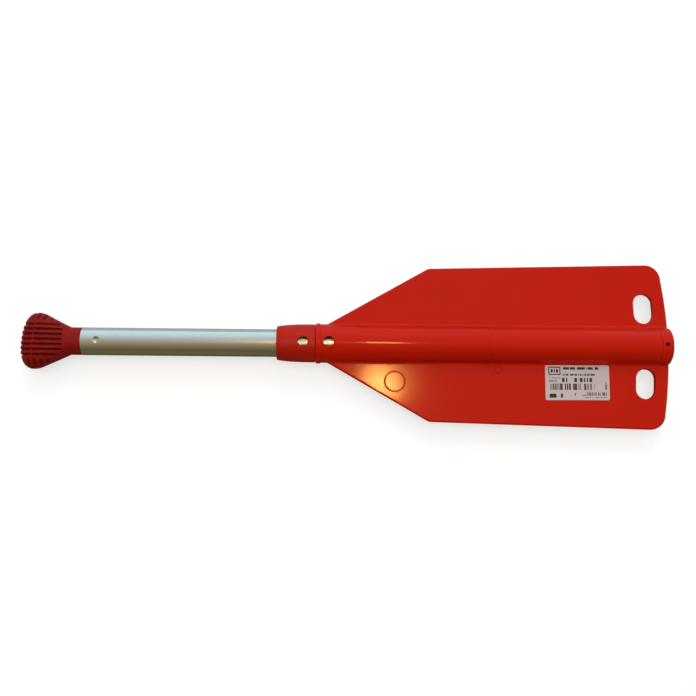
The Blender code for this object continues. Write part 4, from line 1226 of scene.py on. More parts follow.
@dataclass
class StakedTube:
    """The drawn aluminium tube, with a smooth dimple punched near each end into the plug inside."""

    layout: Layout
    finish: AnodisedAluminium

    wall: float = 1.5 * MM
    edge_break: float = 0.3 * MM
    stake_from_end: float = 16.1 * MM
    stake_radius: float = 3.5 * MM
    stake_depth: float = 2.6 * MM
    stake_floor_power: float = 2.2  # higher makes the dimple's floor flatter
    stake_rim_power: float = 1.4  # higher makes its rim softer
    fine_sector: float = math.radians(18.0)
    fine_steps: int = 56
    fine_reach: float = 1.15  # how far from a dimple's middle the close rings run, in its radii
    fine_rings: int = 20  # the close rings on each side of a dimple's middle
    coarse_steps: int = 120
    coarse_from: float = 1.3  # how near a dimple's middle the wide rings come, in its radii
    coarse_rings: int = 60
    sharp_above_deg: float = 35.0

    def angles(self) -> list[float]:
        """Angles round the tube, close together over the dimples.

        Returns:
            The angles from the top, in order.
        """
        fine = [-self.fine_sector + 2 * self.fine_sector * step / self.fine_steps
                for step in range(self.fine_steps)]
        rest = 2 * math.pi - 2 * self.fine_sector
        return fine + [self.fine_sector + rest * step / self.coarse_steps
                       for step in range(self.coarse_steps)]

    def sink(self, x: float, angle: float, radius: float, stakes: list[float]) -> float:
        """How deep the punch has pushed the wall in at a point.

        Args:
            x: The point's place along the shaft.
            angle: Its angle from the top.
            radius: The tube's radius there.
            stakes: The dimples' places.

        Returns:
            The depth.
        """
        if abs(angle) > self.fine_sector:
            return 0.0
        across = radius * math.sin(angle)
        away = min(math.hypot(x - stake, across) for stake in stakes)
        share = away / self.stake_radius
        if share >= 1.0:
            return 0.0
        return self.stake_depth * (1 - share**self.stake_floor_power) ** self.stake_rim_power

    def build(self) -> bpy.types.Object:
        """Draw the tube, punch it and dress it.

        Returns:
            The finished piece.
        """
        low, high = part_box("shaft_tube")
        top_x = self.layout.along(low.x)
        low_x = self.layout.along(high.x)
        outer = (high.y - low.y) / 2
        inner = outer - self.wall
        stakes = [top_x + self.stake_from_end, low_x - self.stake_from_end]
        places = {top_x + self.edge_break, low_x - self.edge_break}
        for stake in stakes:
            for step in range(2 * self.fine_rings + 1):
                places.add(stake + self.stake_radius * self.fine_reach * (step / self.fine_rings - 1))
        for step in range(1, self.coarse_rings):
            x = top_x + (low_x - top_x) * step / self.coarse_rings
            if all(abs(x - stake) > self.coarse_from * self.stake_radius for stake in stakes):
                places.add(x)
        run = sorted(places)
        section = [(x, outer) for x in run]
        section += [(low_x, outer - self.edge_break), (low_x, inner + self.edge_break)]
        section += [(x, inner) for x in reversed(run)]
        section += [(top_x, inner + self.edge_break), (top_x, outer - self.edge_break)]
        rings = []
        for angle in self.angles():
            ring = []
            for x, radius in section:
                depth = self.sink(x, angle, radius, stakes)
                ring.append((x, radius * math.sin(angle), radius * math.cos(angle) - depth))
            rings.append(ring)
        tube = add_object("drawn_tube", lofted(rings, closed=True))
        place(tube, self.layout)
        dress(tube, self.finish.build(), self.sharp_above_deg)
        join_to_part(tube, "shaft_body", ("shaft_tube",))
        return tube


@dataclass
class PalmGrip:
    """The soft grip: a pear in plan, ribbed lengthwise on both faces and crosswise on its sides."""

    layout: Layout
    finish: SoftVinyl

    neck_radius: float = 13.9 * MM
    neck_length: float = 11.75 * MM
    half_width: float = 28.35 * MM
    half_thickness: float = 15.5 * MM
    end_depth: float = 14.8 * MM
    end_power: float = 2.3
    shoulder_radius: float = 18.0 * MM
    taper_deg: float = 25.6
    face_power: float = 2.5
    mouth_rounding: float = 0.7 * MM

    face_grooves: int = 7
    face_pitch: float = 5.14 * MM
    face_width: float = 2.3 * MM
    face_depth: float = 1.75 * MM
    face_length: float = 43.6 * MM
    outer_face_length: float = 40.6 * MM
    face_fade: float = 1.6 * MM
    end_fade: float = 7.0 * MM
    end_share: float = 0.45  # of a groove's depth that is left at the very end of the palm
    band_start: float = 15.0 * MM  # the low band that crosses the ribs, where the two mould halves met
    band_width: float = 2.0 * MM
    band_share: float = 0.62  # of a groove's depth that the band fills

    side_grooves: int = 4
    side_start: float = 9.4 * MM
    side_pitch: float = 5.9 * MM
    side_width: float = 2.0 * MM
    side_depth: float = 1.35 * MM
    side_from_y: float = 19.4 * MM
    side_fade: float = 1.2 * MM
    side_lean: float = 0.42  # how far a groove on the +Y side leans towards the neck on its way down
    side_lean_end: float = 8.0 * MM  # how far down it stops leaning
    near_side_floor: float = 5.0 * MM  # how high above the axis a groove on the -Y side ends
    near_side_shift: float = 2.8 * MM  # how much nearer the neck the grooves on the -Y side are

    trough_floor: float = 0.5  # how wide a groove's flat floor is, as a share of the groove's width
    trough_reach: float = 1.25  # how wide it is from edge to edge of its soft walls, as such a share
    skew: float = 0.065  # how far the palm end leans along the shaft for each length across it

    cavity_radius: float = 10.8 * MM
    cavity_depth: float = 44.3 * MM
    around: int = 440
    rings_along: int = 200
    first_ring: float = 0.002  # how far up its profile the first ring lies, as a share of the profile
    profile_samples: int = 2000
    sharp_above_deg: float = 60.0

    def arc_end(self) -> float:
        """Where the shoulder's arc meets the straight taper."""
        return self.end_depth + self.shoulder_radius * math.sin(math.radians(self.taper_deg))

    def arc_end_half(self) -> float:
        """The half-width where the shoulder's arc meets the straight taper."""
        return self.half_width - self.shoulder_radius * (1 - math.cos(math.radians(self.taper_deg)))

    def taper_end(self) -> float:
        """Where the taper meets the neck."""
        run = (self.arc_end_half() - self.neck_radius) / math.tan(math.radians(self.taper_deg))
        return self.arc_end() + run

    def length(self) -> float:
        """The grip's length along the shaft."""
        return self.taper_end() + self.neck_length

    def end_rounding(self, s: float) -> float:
        """How much of the full width and thickness the rounded palm end has at a distance from its end.

        Args:
            s: The distance from the end.

        Returns:
            The share, from 0 at the very end to 1 where the rounding stops.
        """
        left = max(0.0, self.end_depth - s) / self.end_depth
        return max(0.0, 1 - left**self.end_power) ** (1 / self.end_power)

    def width_at(self, s: float) -> float:
        """The half-width at a distance from the grip's end.

        Args:
            s: The distance from the end.

        Returns:
            The half-width.
        """
        if s <= self.end_depth:
            return self.half_width * self.end_rounding(s)
        if s <= self.arc_end():
            run = s - self.end_depth
            return self.half_width - self.shoulder_radius + math.sqrt(self.shoulder_radius**2 - run**2)
        if s <= self.taper_end():
            return self.arc_end_half() - (s - self.arc_end()) * math.tan(math.radians(self.taper_deg))
        return self.neck_radius - self.mouth_inset(s)

    def mouth_inset(self, s: float) -> float:
        """How far the rounding at the mouth draws the neck in.

        Args:
            s: The distance from the grip's end.

        Returns:
            The inset, which is 0 up to the rounding.
        """
        past = s - (self.length() - self.mouth_rounding)
        if past <= 0:
            return 0.0
        return self.mouth_rounding - math.sqrt(max(0.0, self.mouth_rounding**2 - past**2))

    def thickness_at(self, s: float) -> float:
        """The half-thickness at a distance from the grip's end.

        Args:
            s: The distance from the end.

        Returns:
            The half-thickness.
        """
        share = min(1.0, max(0.0, s - self.end_depth) / (self.taper_end() - self.end_depth))
        full = self.half_thickness + (self.neck_radius - self.half_thickness) * eased(share)
        return full * self.end_rounding(s) - self.mouth_inset(s)

    def power_at(self, s: float) -> float:
        """How square the section is: boxy in the palm, round at the neck."""
        share = min(1.0, max(0.0, (s - self.arc_end()) / (self.taper_end() - self.arc_end())))
        return self.face_power + (2.0 - self.face_power) * share

    def skin_point(self, s: float, angle: float) -> Vector:
        """A point on the smooth skin.

        Args:
            s: The distance from the grip's end.
            angle: The angle round the section, from +Y.

        Returns:
            The point, with X measured from the grip's end.
        """
        power = 2 / self.power_at(s)
        cosine = math.cos(angle)
        sine = math.sin(angle)
        y = self.width_at(s) * math.copysign(abs(cosine) ** power, cosine)
        z = self.thickness_at(s) * math.copysign(abs(sine) ** power, sine)
        return Vector((s, y, z))

    def trough(self, away: float, width: float) -> float:
        """How deep a groove is beside its middle.

        Args:
            away: The distance from the groove's middle.
            width: The groove's width.

        Returns:
            The share of its depth, from 0 outside to 1 on its floor, with soft walls between.
        """
        share = abs(away) / (width / 2)
        return self.fade(self.trough_reach - share, self.trough_reach - self.trough_floor)

    @staticmethod
    def fade(run: float, over: float) -> float:
        """A soft end: 0 before the groove's end, 1 once it is as far past it as over."""
        share = min(1.0, max(0.0, run / over))
        return share * share * (3 - 2 * share)

    def groove_depth(self, point: Vector) -> float:
        """How deep the skin is grooved at a point.

        Args:
            point: The point on the smooth skin.

        Returns:
            The depth.
        """
        depth = 0.0
        middle = (self.face_grooves - 1) / 2
        for number in range(self.face_grooves):
            away = point.y - (number - middle) * self.face_pitch
            if abs(away) > self.face_width:
                continue
            outermost = number in (0, self.face_grooves - 1)
            length = self.outer_face_length if outermost else self.face_length
            along = self.fade(length - point.x, self.face_fade)
            along *= self.end_share + (1 - self.end_share) * self.fade(point.x, self.end_fade)
            across_band = self.trough(point.x - self.band_start, self.band_width)
            along *= 1 - self.band_share * across_band * self.fade(point.z, self.face_depth)
            depth = max(depth, self.face_depth * along * self.trough(away, self.face_width))
        for number in range(self.side_grooves):
            down = min(self.half_thickness - abs(point.z), self.side_lean_end)
            lean = self.side_lean * down if point.y > 0 else self.near_side_shift
            away = point.x - (self.side_start + number * self.side_pitch + lean)
            if abs(away) > self.side_width:
                continue
            along = self.fade(abs(point.y) - self.side_from_y, self.side_fade)
            if point.y < 0:
                along *= self.fade(abs(point.z) - self.near_side_floor, self.side_fade)
            depth = max(depth, self.side_depth * along * self.trough(away, self.side_width))
        return depth

    def stations(self) -> list[float]:
        """Distances from the grip's end of the skin's rings, evenly spaced along its profile.

        Returns:
            The distances in order.
        """
        samples = self.profile_samples
        travelled = [0.0]
        for step in range(1, samples + 1):
            before = self.length() * ((step - 1) / samples) ** 2
            after = self.length() * (step / samples) ** 2
            rise = self.thickness_at(after) - self.thickness_at(before)
            spread = self.width_at(after) - self.width_at(before)
            travelled.append(travelled[-1] + math.hypot(after - before, max(abs(rise), abs(spread))))
        result = []
        index = 0
        for ring in range(self.rings_along + 1):
            goal = travelled[-1] * (self.first_ring + (1 - self.first_ring) * ring / self.rings_along)
            while index < samples and travelled[index] < goal:
                index += 1
            result.append(self.length() * (index / samples) ** 2)
        return result

    def leaned(self, point: Vector) -> Vector:
        """Skew the palm end: the full lean up to the shoulder, none from the neck on."""
        left = self.fade(self.taper_end() - point.x, self.taper_end() - self.end_depth)
        return Vector((point.x + self.skew * left * point.y, point.y, point.z))

    def skin(self) -> tuple[list[list[Vector]], list[float]]:
        """The grooved skin as rings of points.

        Returns:
            The rings, from the end to the mouth, and each point's groove share in the same order.
        """
        smooth = [[self.skin_point(s, angle) for angle in full_turn(self.around)] for s in self.stations()]
        shares = []
        rings = []
        last = len(smooth) - 1
        for row, ring in enumerate(smooth):
            before = smooth[max(0, row - 1)]
            after = smooth[min(last, row + 1)]
            grooved = []
            for index, point in enumerate(ring):
                depth = self.groove_depth(point)
                if depth > 0.0:
                    around = ring[(index + 1) % self.around] - ring[index - 1]
                    outward = around.cross(after[index] - before[index])
                    if outward.dot(point - Vector((self.end_depth, 0.0, 0.0))) < 0:
                        outward.negate()
                    point = point - outward.normalized() * depth
                shares.append(min(1.0, depth / self.face_depth))
                grooved.append(self.leaned(point))
            rings.append(grooved)
        return rings, shares

    def build(self) -> bpy.types.Object:
        """Mould the grip and dress it.

        Returns:
            The finished piece.
        """
        low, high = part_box("grip")
        mouth_x = self.layout.along(high.x)
        skin, shares = self.skin()
        skin_mouth_x = skin[-1][0].x
        furthest = min(point.x for ring in skin for point in ring)
        stretch = (high.x - low.x) / (skin_mouth_x - furthest)
        rings = []
        for ring in skin:
            rings.append([
                (mouth_x + (point.x - skin_mouth_x) * stretch, point.y, point.z) for point in ring
            ])
        for x in (mouth_x, mouth_x - self.cavity_depth):
            rings.append([
                (x, self.cavity_radius * math.cos(angle), self.cavity_radius * math.sin(angle))
                for angle in full_turn(self.around)
            ])
        grip = add_object("grip_moulding", lofted(rings))
        # Each point's groove share, which sets how much painted shade darkens it
        groove = grip.data.attributes.new(GROOVE_ATTRIBUTE, "FLOAT", "POINT")
        shares += [0.0] * (len(grip.data.vertices) - len(shares))
        groove.data.foreach_set("value", shares)
        place(grip, self.layout)
        dress(grip, self.finish.build(), self.sharp_above_deg)
        join_to_part(grip, "shaft_body", ("grip",))
        return grip


@dataclass
class StockLabel:
    """The paper label stuck on the blade beside the spine. Its print is bars and dashes that say nothing."""

    layout: Layout
    blade: SpinedBlade

    corner_x: float = 232.2 * MM
    corner_y: float = -55.6 * MM
    length: float = 65.0 * MM
    width: float = 35.1 * MM
    turn_deg: float = 0.35
    corner_radius: float = 1.6 * MM
    thickness: float = 0.12 * MM
    clear_of_blade: float = 0.03 * MM
    columns: int = 64
    rows_across: int = 24
    corner_steps: int = 6
    sharp_above_deg: float = 50.0

    rows: tuple[PrintRow, ...] = (
        PrintRow(3.2, 15.6, 25.4, 26.4, 0.0),
        PrintRow(3.2, 15.6, 32.6, 33.6, 0.0),
        PrintRow(3.2, 4.2, 25.4, 33.6, 0.0),
        PrintRow(14.6, 15.6, 25.4, 33.6, 0.0),
        PrintRow(5.6, 13.2, 27.8, 31.2, 1.1, 0.6),
        PrintRow(18.2, 56.0, 30.8, 33.2, 0.9, 0.72),
        PrintRow(18.2, 50.5, 24.6, 26.6, 0.9, 0.68, darkness=0.9),
        PrintRow(17.0, 47.5, 18.2, 22.4, 1.4, 0.6),
        PrintRow(3.2, 15.2, 21.8, 22.8, 0.8, 0.7, darkness=0.65),
        PrintRow(3.2, 11.6, 18.6, 20.0, 0.8, 0.75, darkness=0.75),
        PrintRow(4.2, 50.0, 10.2, 16.6, 0.7, 0.55, darkness=0.92),
        PrintRow(4.0, 17.6, 2.4, 6.4, 2.2, 0.62),
        PrintRow(29.4, 30.6, 4.4, 7.2, 0.0, darkness=0.85),
        PrintRow(37.4, 41.6, 4.2, 5.2, 0.7, 0.75, darkness=0.8),
        PrintRow(41.6, 62.0, 4.4, 7.8, 0.7, 0.52, darkness=0.8),
        PrintRow(40.0, 62.4, 2.0, 3.2, 0.8, 0.6, darkness=0.55),
        PrintRow(60.6, 62.4, 10.4, 17.6, 0.8, 0.7, upright=True, darkness=0.8),
    )

    def lies_at(self, y: float) -> float:
        """The height of the blade's face at a distance from the axis, with the web beside the spine.

        Args:
            y: The distance across the blade.

        Returns:
            The height above the axis.
        """
        blade = self.blade
        centre_z = blade.root_thickness / 2 + blade.fillet_radius
        centre_y = math.sqrt((blade.spine_radius + blade.fillet_radius) ** 2 - centre_z**2)
        if abs(y) < centre_y:
            return centre_z - math.sqrt(blade.fillet_radius**2 - (centre_y - abs(y)) ** 2)
        return blade.half_thickness(abs(y))

    def outline(self) -> tuple[list[float], list[float], list[float]]:
        """The label's lower and upper edge along its length, with rounded corners.

        Returns:
            Places along the label, and the lower and upper edge at each.
        """
        radius = self.corner_radius
        corner = [radius * (1 - math.cos(math.pi / 2 * step / self.corner_steps))
                  for step in range(self.corner_steps + 1)]
        middle = [radius + (self.length - 2 * radius) * step / self.columns
                  for step in range(1, self.columns)]
        places = corner + middle + [self.length - along for along in reversed(corner)]
        lows = []
        for along in places:
            from_end = min(along, self.length - along)
            past = max(0.0, radius - from_end)
            lows.append(radius - math.sqrt(max(0.0, radius**2 - past**2)))
        return places, lows, [self.width - low for low in lows]

    def build(self) -> bpy.types.Object:
        """Cut the label, lay it on the blade and dress it.

        Returns:
            The finished piece.
        """
        turn = Matrix.Rotation(math.radians(self.turn_deg), 2)
        across_steps = range(self.rows_across + 1)
        rings = []
        for along, low, high in zip(*self.outline()):
            ring = []
            for lift, steps in ((0.0, across_steps), (self.thickness, reversed(across_steps))):
                for step in steps:
                    across = low + (high - low) * step / self.rows_across
                    x, y = turn @ Vector((along, across))
                    y += self.corner_y
                    z = self.lies_at(y) + self.clear_of_blade + lift
                    ring.append((self.corner_x + x, y, z))
            rings.append(ring)
        label = add_object("stock_label", lofted(rings))
        place(label, self.layout)
        corner = self.layout.world(self.corner_x, self.corner_y, 0.0)
        paper = PrintedPaper(corner=tuple(corner), turn=math.radians(self.turn_deg), rows=self.rows)
        dress(label, paper.build(), self.sharp_above_deg)
        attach(label, "blade_body")
        LOG.info("%s: %d faces, rides on blade_body", label.name, len(label.data.polygons))
        return label


@dataclass
class ButtonSpring:
    """The coil spring under the lock button, closed at each end."""

    finish: Finish

    coil_radius: float = 3.6 * MM
    wire_radius: float = 0.45 * MM
    turns: int = 6
    closed_turns: float = 0.8  # at each end, where the coils touch
    closed_pitch: float = 1.0 * MM
    steps_a_turn: int = 28
    wire_steps: int = 10
    press: float = 4.0 * MM  # how far the button goes in
    sharp_above_deg: float = 50.0

    def rise(self, turn: float, height: float) -> float:
        """How high the wire's centre is above its first point.

        Args:
            turn: Turns wound so far.
            height: The rise over the whole spring.

        Returns:
            The rise.
        """
        closed = self.closed_turns * self.closed_pitch
        open_turns = self.turns - 2 * self.closed_turns
        open_pitch = (height - 2 * closed) / open_turns
        before_open = min(turn, self.closed_turns)
        in_open = min(max(turn - self.closed_turns, 0.0), open_turns)
        after_open = max(turn - self.closed_turns - open_turns, 0.0)
        return (before_open + after_open) * self.closed_pitch + in_open * open_pitch

    def build(self) -> bpy.types.Object:
        """Wind the spring, dress it and tie it to the shaft's body.

        Returns:
            The finished piece.
        """
        low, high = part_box("button_spring")
        button_low, button_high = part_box("lock_button")
        middle = (button_low + button_high) / 2
        start = low.z + self.wire_radius
        height = high.z - low.z - 2 * self.wire_radius
        rings = []
        for step in range(self.turns * self.steps_a_turn + 1):
            turn = step / self.steps_a_turn
            outward = Vector((math.cos(2 * math.pi * turn), math.sin(2 * math.pi * turn), 0.0))
            centre = middle + outward * self.coil_radius
            centre.z = start + self.rise(turn, height)
            ring = []
            for angle in full_turn(self.wire_steps):
                lift = Vector((0.0, 0.0, math.sin(angle) * self.wire_radius))
                ring.append(tuple(centre + outward * (math.cos(angle) * self.wire_radius) + lift))
            rings.append(ring)
        spring = add_object("coiled_spring", lofted(rings))
        dress(spring, self.finish.build(), self.sharp_above_deg)
        join_to_part(spring, "shaft_body", ("button_spring",))
        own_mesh(spring)
        return spring


@dataclass
class InnerParts:
    """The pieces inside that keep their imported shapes: plugs, bush, ring and button."""

    finishes: dict[str, Finish]

    def build(self) -> None:
        """Give each inner piece its finish."""
        for node, finish in self.finishes.items():
            material = finish.build()
            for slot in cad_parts[node].material_slots:
                slot.material = material
            LOG.info("%s: finished as %s", node, finish.name)


@dataclass
class Studio:
    """A white floor, a dome that is bright on the far side, two soft lights and a small warm lamp."""

    layout: Layout

    # The camera's place and tilt come from a fit to the paddle's straight edges in the photograph
    focal_length_mm: float = 43.97
    sensor_mm: float = 36.0
    camera_place: Point3 = (17.735 * MM, -116.28 * MM, 853.579 * MM)
    camera_tilt: Point3 = (-0.13040314, 0.01768341, -0.00953338)
    camera_sees: Point2 = (0.01, 50.0)

    floor_size: float = 12.0
    floor_colour: str = "B4B4B4"
    # Painted reflection: glossy rays see the floor's near side in this dark colour, which stands in for a
    # dark room there
    floor_painted_dark_in_near_gloss: str = "6E654D"  # the floor as gloss sees it on the near side
    floor_glow: float = 0.62
    floor_white_from: float = 0.9  # beyond this from the origin, its glow makes up for the fading light
    floor_white_at: float = 3.0
    # Painted shade in reflections: nearer than this, glossy rays see the floor without its glow, so edges and
    # the tube's underside mirror it dark
    floor_bright_from_y: float = 0.15  # beyond this, gloss sees the floor brighten
    floor_bright_at_y: float = 0.8

    # The dome's colour by how far a direction points to the far side, from -1 to 1
    dome_bands: tuple[tuple[float, str], ...] = (
        (-1.0, "60563E"), (-0.7, "887957"), (-0.14, "A59B88"), (0.14, "AFAEAA"), (0.4, "C3CBCC"),
        (0.85, "D8F1F8"), (1.0, "D5FFFF"),
    )
    backdrop_from: float = 0.85  # beyond this to the far side, gloss starts to see the white backdrop
    backdrop_in_gloss: float = 0.15  # how much of it gloss sees at the most

    fill_place: Point3 = (0.0, 0.0, 2.6)
    fill_size: float = 2.4
    fill_watts: float = 30.0
    fill_colour: str = "FFFFFF"
    key_place: Point3 = (0.1, 1.9, 1.6)
    key_size: float = 1.4
    key_watts: float = 21.0
    key_colour: str = "F7FEFF"

    glow_place: Point3 = (67.5 * MM, -61.0 * MM, 3.0 * MM)  # where the plate mirrors the warm lamp
    lamp_distance: float = 1.45
    lamp_sides: Point2 = (0.1, 0.07)
    lamp_watts: float = 3.4
    lamp_colour: str = "FFC064"

    def camera(self) -> None:
        """Stand the camera where the photograph was taken from."""
        data = bpy.data.cameras.new("camera")
        data.lens = self.focal_length_mm
        data.sensor_width = self.sensor_mm
        data.dof.use_dof = False
        data.clip_start, data.clip_end = self.camera_sees
        camera = bpy.data.objects.new("camera", data)
        bpy.context.scene.collection.objects.link(camera)
        about_x, about_y, about_z = self.camera_tilt
        view = (Matrix.Rotation(about_z, 3, "Z") @ Matrix.Rotation(about_y, 3, "Y")
                @ Matrix.Rotation(about_x, 3, "X"))
        stand = Matrix.Translation(self.layout.world(*self.camera_place))
        camera.matrix_world = stand @ view.transposed().to_4x4()
        bpy.context.scene.camera = camera

    def seen_white(self, tree: bpy.types.NodeTree, gloss_share: bpy.types.NodeSocket) -> bpy.types.NodeSocket:
        """Nodes that choose which rays see a plain white.

        Args:
            tree: The tree that gets the nodes.
            gloss_share: How much of it glossy rays see.

        Returns:
            A socket that is 1 for camera and transmission rays, and gloss_share for glossy ones.
        """
        path = add_node(tree, "ShaderNodeLightPath")
        straight = add_node(tree, "ShaderNodeMath", {"operation": "MAXIMUM"},
                            {0: path.outputs["Is Camera Ray"], 1: path.outputs["Is Transmission Ray"]})
        gloss = add_node(tree, "ShaderNodeMath", {"operation": "MULTIPLY"},
                         {0: path.outputs["Is Glossy Ray"], 1: gloss_share})
        either = add_node(tree, "ShaderNodeMath", {"operation": "MAXIMUM"},
                          {0: straight.outputs[0], 1: gloss.outputs[0]})
        return either.outputs[0]

    def floor(self) -> None:
        """Lay the white floor, which keeps the paddle's shadow. Gloss sees it painted dark on the near side,
        a painted reflection of a dark room there.
        """
        bm = bmesh.new()
        bmesh.ops.create_grid(bm, x_segments=2, y_segments=2, size=self.floor_size / 2)
        floor = add_object("studio_floor", bm)
        material, shader, where = new_surface("white_painted_floor", {
            "Roughness": 0.9, "Specular IOR Level": 0.0, "Emission Color": (1.0, 1.0, 1.0, 1.0),
        })
        tree = material.node_tree
        parts = add_node(tree, "ShaderNodeSeparateXYZ", links={0: where})
        far_side = add_node(tree, "ShaderNodeMapRange", {
            "interpolation_type": "SMOOTHSTEP", "From Min": self.floor_bright_from_y,
            "From Max": self.floor_bright_at_y,
        }, {"Value": parts.outputs["Y"]})
        path = add_node(tree, "ShaderNodeLightPath")
        near_side = add_node(tree, "ShaderNodeMath", {"operation": "LESS_THAN", 1: 0.0},
                             {0: parts.outputs["Y"]})
        near_gloss = add_node(tree, "ShaderNodeMath", {"operation": "MULTIPLY"},
                              {0: path.outputs["Is Glossy Ray"], 1: near_side.outputs[0]})
        # The near side in the dark paint for glossy rays: a painted dark reflection
        paint = add_node(tree, "ShaderNodeMix", {
            "data_type": "RGBA",
            MIX_FIRST: linear_colour(self.floor_colour),
            MIX_SECOND: linear_colour(self.floor_painted_dark_in_near_gloss),
        }, {MIX_SHARE: near_gloss.outputs[0]})
        tree.links.new(paint.outputs[MIX_RESULT], shader.inputs["Base Color"])
        seen = self.seen_white(tree, far_side.outputs["Result"])
        glow = add_node(tree, "ShaderNodeMath", {"operation": "MULTIPLY", 1: self.floor_glow}, {0: seen})
        away = add_node(tree, "ShaderNodeVectorMath", {"operation": "LENGTH"}, {0: where})
        white_far_off = add_node(tree, "ShaderNodeMapRange", {
            "From Min": self.floor_white_from, "From Max": self.floor_white_at,
            "To Min": self.floor_glow, "To Max": 1.0,
        }, {"Value": away.outputs["Value"]})
        to_camera = add_node(tree, "ShaderNodeMath", {"operation": "MULTIPLY"},
                             {0: path.outputs["Is Camera Ray"], 1: white_far_off.outputs["Result"]})
        strength = add_node(tree, "ShaderNodeMath", {"operation": "MAXIMUM"},
                            {0: glow.outputs[0], 1: to_camera.outputs[0]})
        tree.links.new(strength.outputs[0], shader.inputs["Emission Strength"])
        floor.data.materials.append(material)

    def sky(self) -> None:
        """Light the scene from a dome: cool and bright on the far side, dim and warm on the near side."""
        world = bpy.data.worlds.new("studio_dome")
        bpy.context.scene.world = world
        world.use_nodes = True
        tree = world.node_tree
        tree.nodes.clear()
        direction = add_node(tree, "ShaderNodeTexCoord").outputs["Generated"]
        parts = add_node(tree, "ShaderNodeSeparateXYZ", links={0: direction})
        share = add_node(tree, "ShaderNodeMapRange", {"From Min": -1.0, "From Max": 1.0},
                         {"Value": parts.outputs["Y"]})
        bands = add_node(tree, "ShaderNodeValToRGB", links={"Fac": share.outputs["Result"]})
        stops = bands.color_ramp.elements
        while len(stops) < len(self.dome_bands):
            stops.new(0.5)
        for stop, (towards, colour) in zip(stops, self.dome_bands):
            stop.position = (towards + 1) / 2
            stop.color = linear_colour(colour)
        dome = add_node(tree, "ShaderNodeBackground", links={"Color": bands.outputs["Color"]})
        white = add_node(tree, "ShaderNodeBackground", {"Color": (1.0, 1.0, 1.0, 1.0), "Strength": 1.0})
        low_far = add_node(tree, "ShaderNodeMapRange", {
            "From Min": self.backdrop_from, "From Max": 1.0, "To Max": self.backdrop_in_gloss,
        }, {"Value": parts.outputs["Y"]})
        chosen = add_node(tree, "ShaderNodeMixShader", links={
            0: self.seen_white(tree, low_far.outputs["Result"]), 1: dome.outputs[0], 2: white.outputs[0],
        })
        add_node(tree, "ShaderNodeOutputWorld", links={"Surface": chosen.outputs[0]})

    def lamp(self, name: str, at: Vector, aim: Vector, sides: Point2, watts: float, colour: str,
             in_reflections: bool) -> None:
        """Hang one soft light.

        Args:
            name: The light's name.
            at: Where it hangs, in the part's frame.
            aim: The point that it faces.
            sides: Its length along the shaft and its width.
            watts: Its power.
            colour: Its colour.
            in_reflections: False leaves it out of glossy reflections, as a flagged fill light is.
                True leaves it in them alone, as a lamp too small to light the scene is.
        """
        data = bpy.data.lights.new(name, "AREA")
        data.shape = "ELLIPSE"
        data.size, data.size_y = sides
        data.energy = watts
        data.color = linear_colour(colour)[:3]
        lamp = bpy.data.objects.new(name, data)
        bpy.context.scene.collection.objects.link(lamp)
        lamp.location = at
        lamp.rotation_euler = (aim - at).to_track_quat("-Z", "Y").to_euler()
        lamp.visible_glossy = in_reflections
        lamp.visible_diffuse = not in_reflections
        lamp.visible_camera = False

    def build(self) -> None:
        """Set up camera, floor and lights."""
        bpy.context.scene.view_settings.view_transform = "Standard"
        self.camera()
        self.floor()
        self.sky()
        centre = Vector((0.0, 0.0, 0.0))
        self.lamp("overhead_fill", Vector(self.fill_place), centre, (self.fill_size, self.fill_size),
                  self.fill_watts, self.fill_colour, False)
        self.lamp("far_side_key", Vector(self.key_place), centre, (self.key_size, self.key_size),
                  self.key_watts, self.key_colour, False)
        glow = Vector(self.glow_place)
        to_eye = (Vector(self.camera_place) - glow).normalized()
        mirrored = Vector((-to_eye.x, -to_eye.y, to_eye.z))
        warm_at = self.layout.world(*(glow + mirrored * self.lamp_distance))
        self.lamp("warm_lamp", warm_at, self.layout.world(*glow), self.lamp_sides, self.lamp_watts,
                  self.lamp_colour, True)


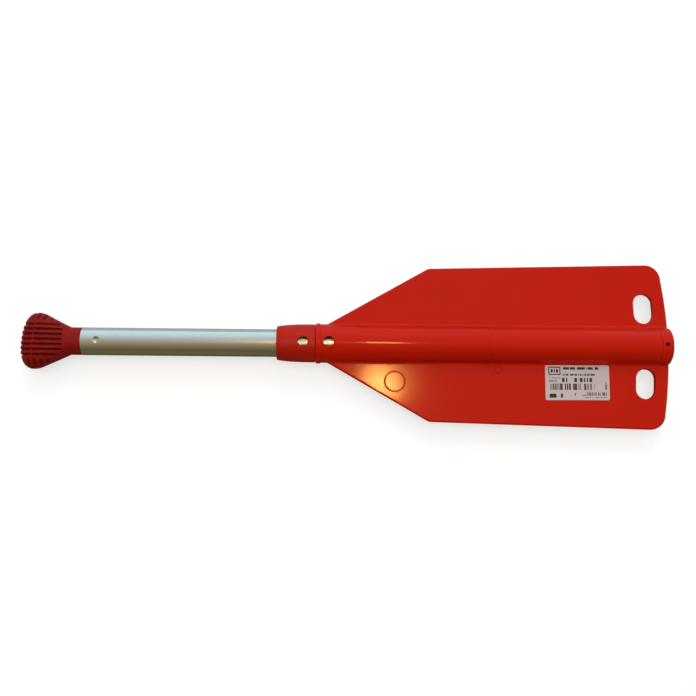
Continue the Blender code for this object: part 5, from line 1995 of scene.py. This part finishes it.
def inner_finishes() -> dict[str, Finish]:
    """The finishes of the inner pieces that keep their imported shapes, by node.

    Returns:
        One finish for each inner node.
    """
    return {
        # Glass-free nylon 6 from a smooth tool: off-white, a little translucent to the eye, satin
        "guide_bush": Finish("moulded_nylon_natural", "DED9CC", "D6D0C0", 0.42, ior=1.53),
        # Polypropylene regrind: an even mid grey with a dull skin
        "grip_core": Finish("moulded_polypropylene_grey", "8A8A8A", "828282", 0.5),
        # Nitrile O-ring rubber: near black, with a dry bloom that kills the shine
        "friction_ring": Finish("moulded_nitrile_rubber", "1C1C1C", "242424", 0.7, ior=1.52),
        # Closed-cell polyethylene foam: white, with cells that show as a fine pitted grain
        "float_plug": Finish("closed_cell_polyethylene_foam", "EDEDEA", "DEDEDA", 0.9,
                             pattern_pitch=1.2 * MM, reliefs=(Relief(1.2 * MM, 0.25 * MM),)),
        # Stainless bar turned on an automatic: bright, with faint tool rings
        "lock_button": Finish("turned_stainless_steel", "CDCAC4", "BDBAB5", 0.38, metallic=1.0,
                              pattern_pitch=0.7 * MM, reliefs=(Relief(0.7 * MM, 0.004 * MM),)),
    }


def main() -> None:
    """Build and dress the paddle, piece by piece, in the studio."""
    logging.basicConfig(level=logging.INFO, format="%(name)s %(message)s")
    layout = Layout.from_frame()
    Studio(layout).build()
    blade_finish = MouldedPolyethylene()
    # The collar comes from another mould: the same plastic, browner and duller
    collar_finish = MouldedPolyethylene(name="moulded_polyethylene_red_collar", colour="B01A0A",
                                        second_colour="A61608", roughness=0.3)
    blade = SpinedBlade(layout, blade_finish)
    blade.build()
    StockLabel(layout, blade).build()
    NeckCollar(layout, collar_finish).build()
    TipPlug(layout, blade_finish).build()
    StakedTube(layout, AnodisedAluminium()).build()
    PalmGrip(layout, SoftVinyl()).build()
    # Hard-drawn spring wire: darker than the button, streaked with drawing soap
    wire = Finish("drawn_spring_wire", "A9A9AA", "8F8F90", 0.32, metallic=1.0,
                  pattern_pitch=0.8 * MM, reliefs=(Relief(0.8 * MM, 0.004 * MM),))
    ButtonSpring(wire).build()
    InnerParts(inner_finishes()).build()


if __name__ == "__main__":
    main()
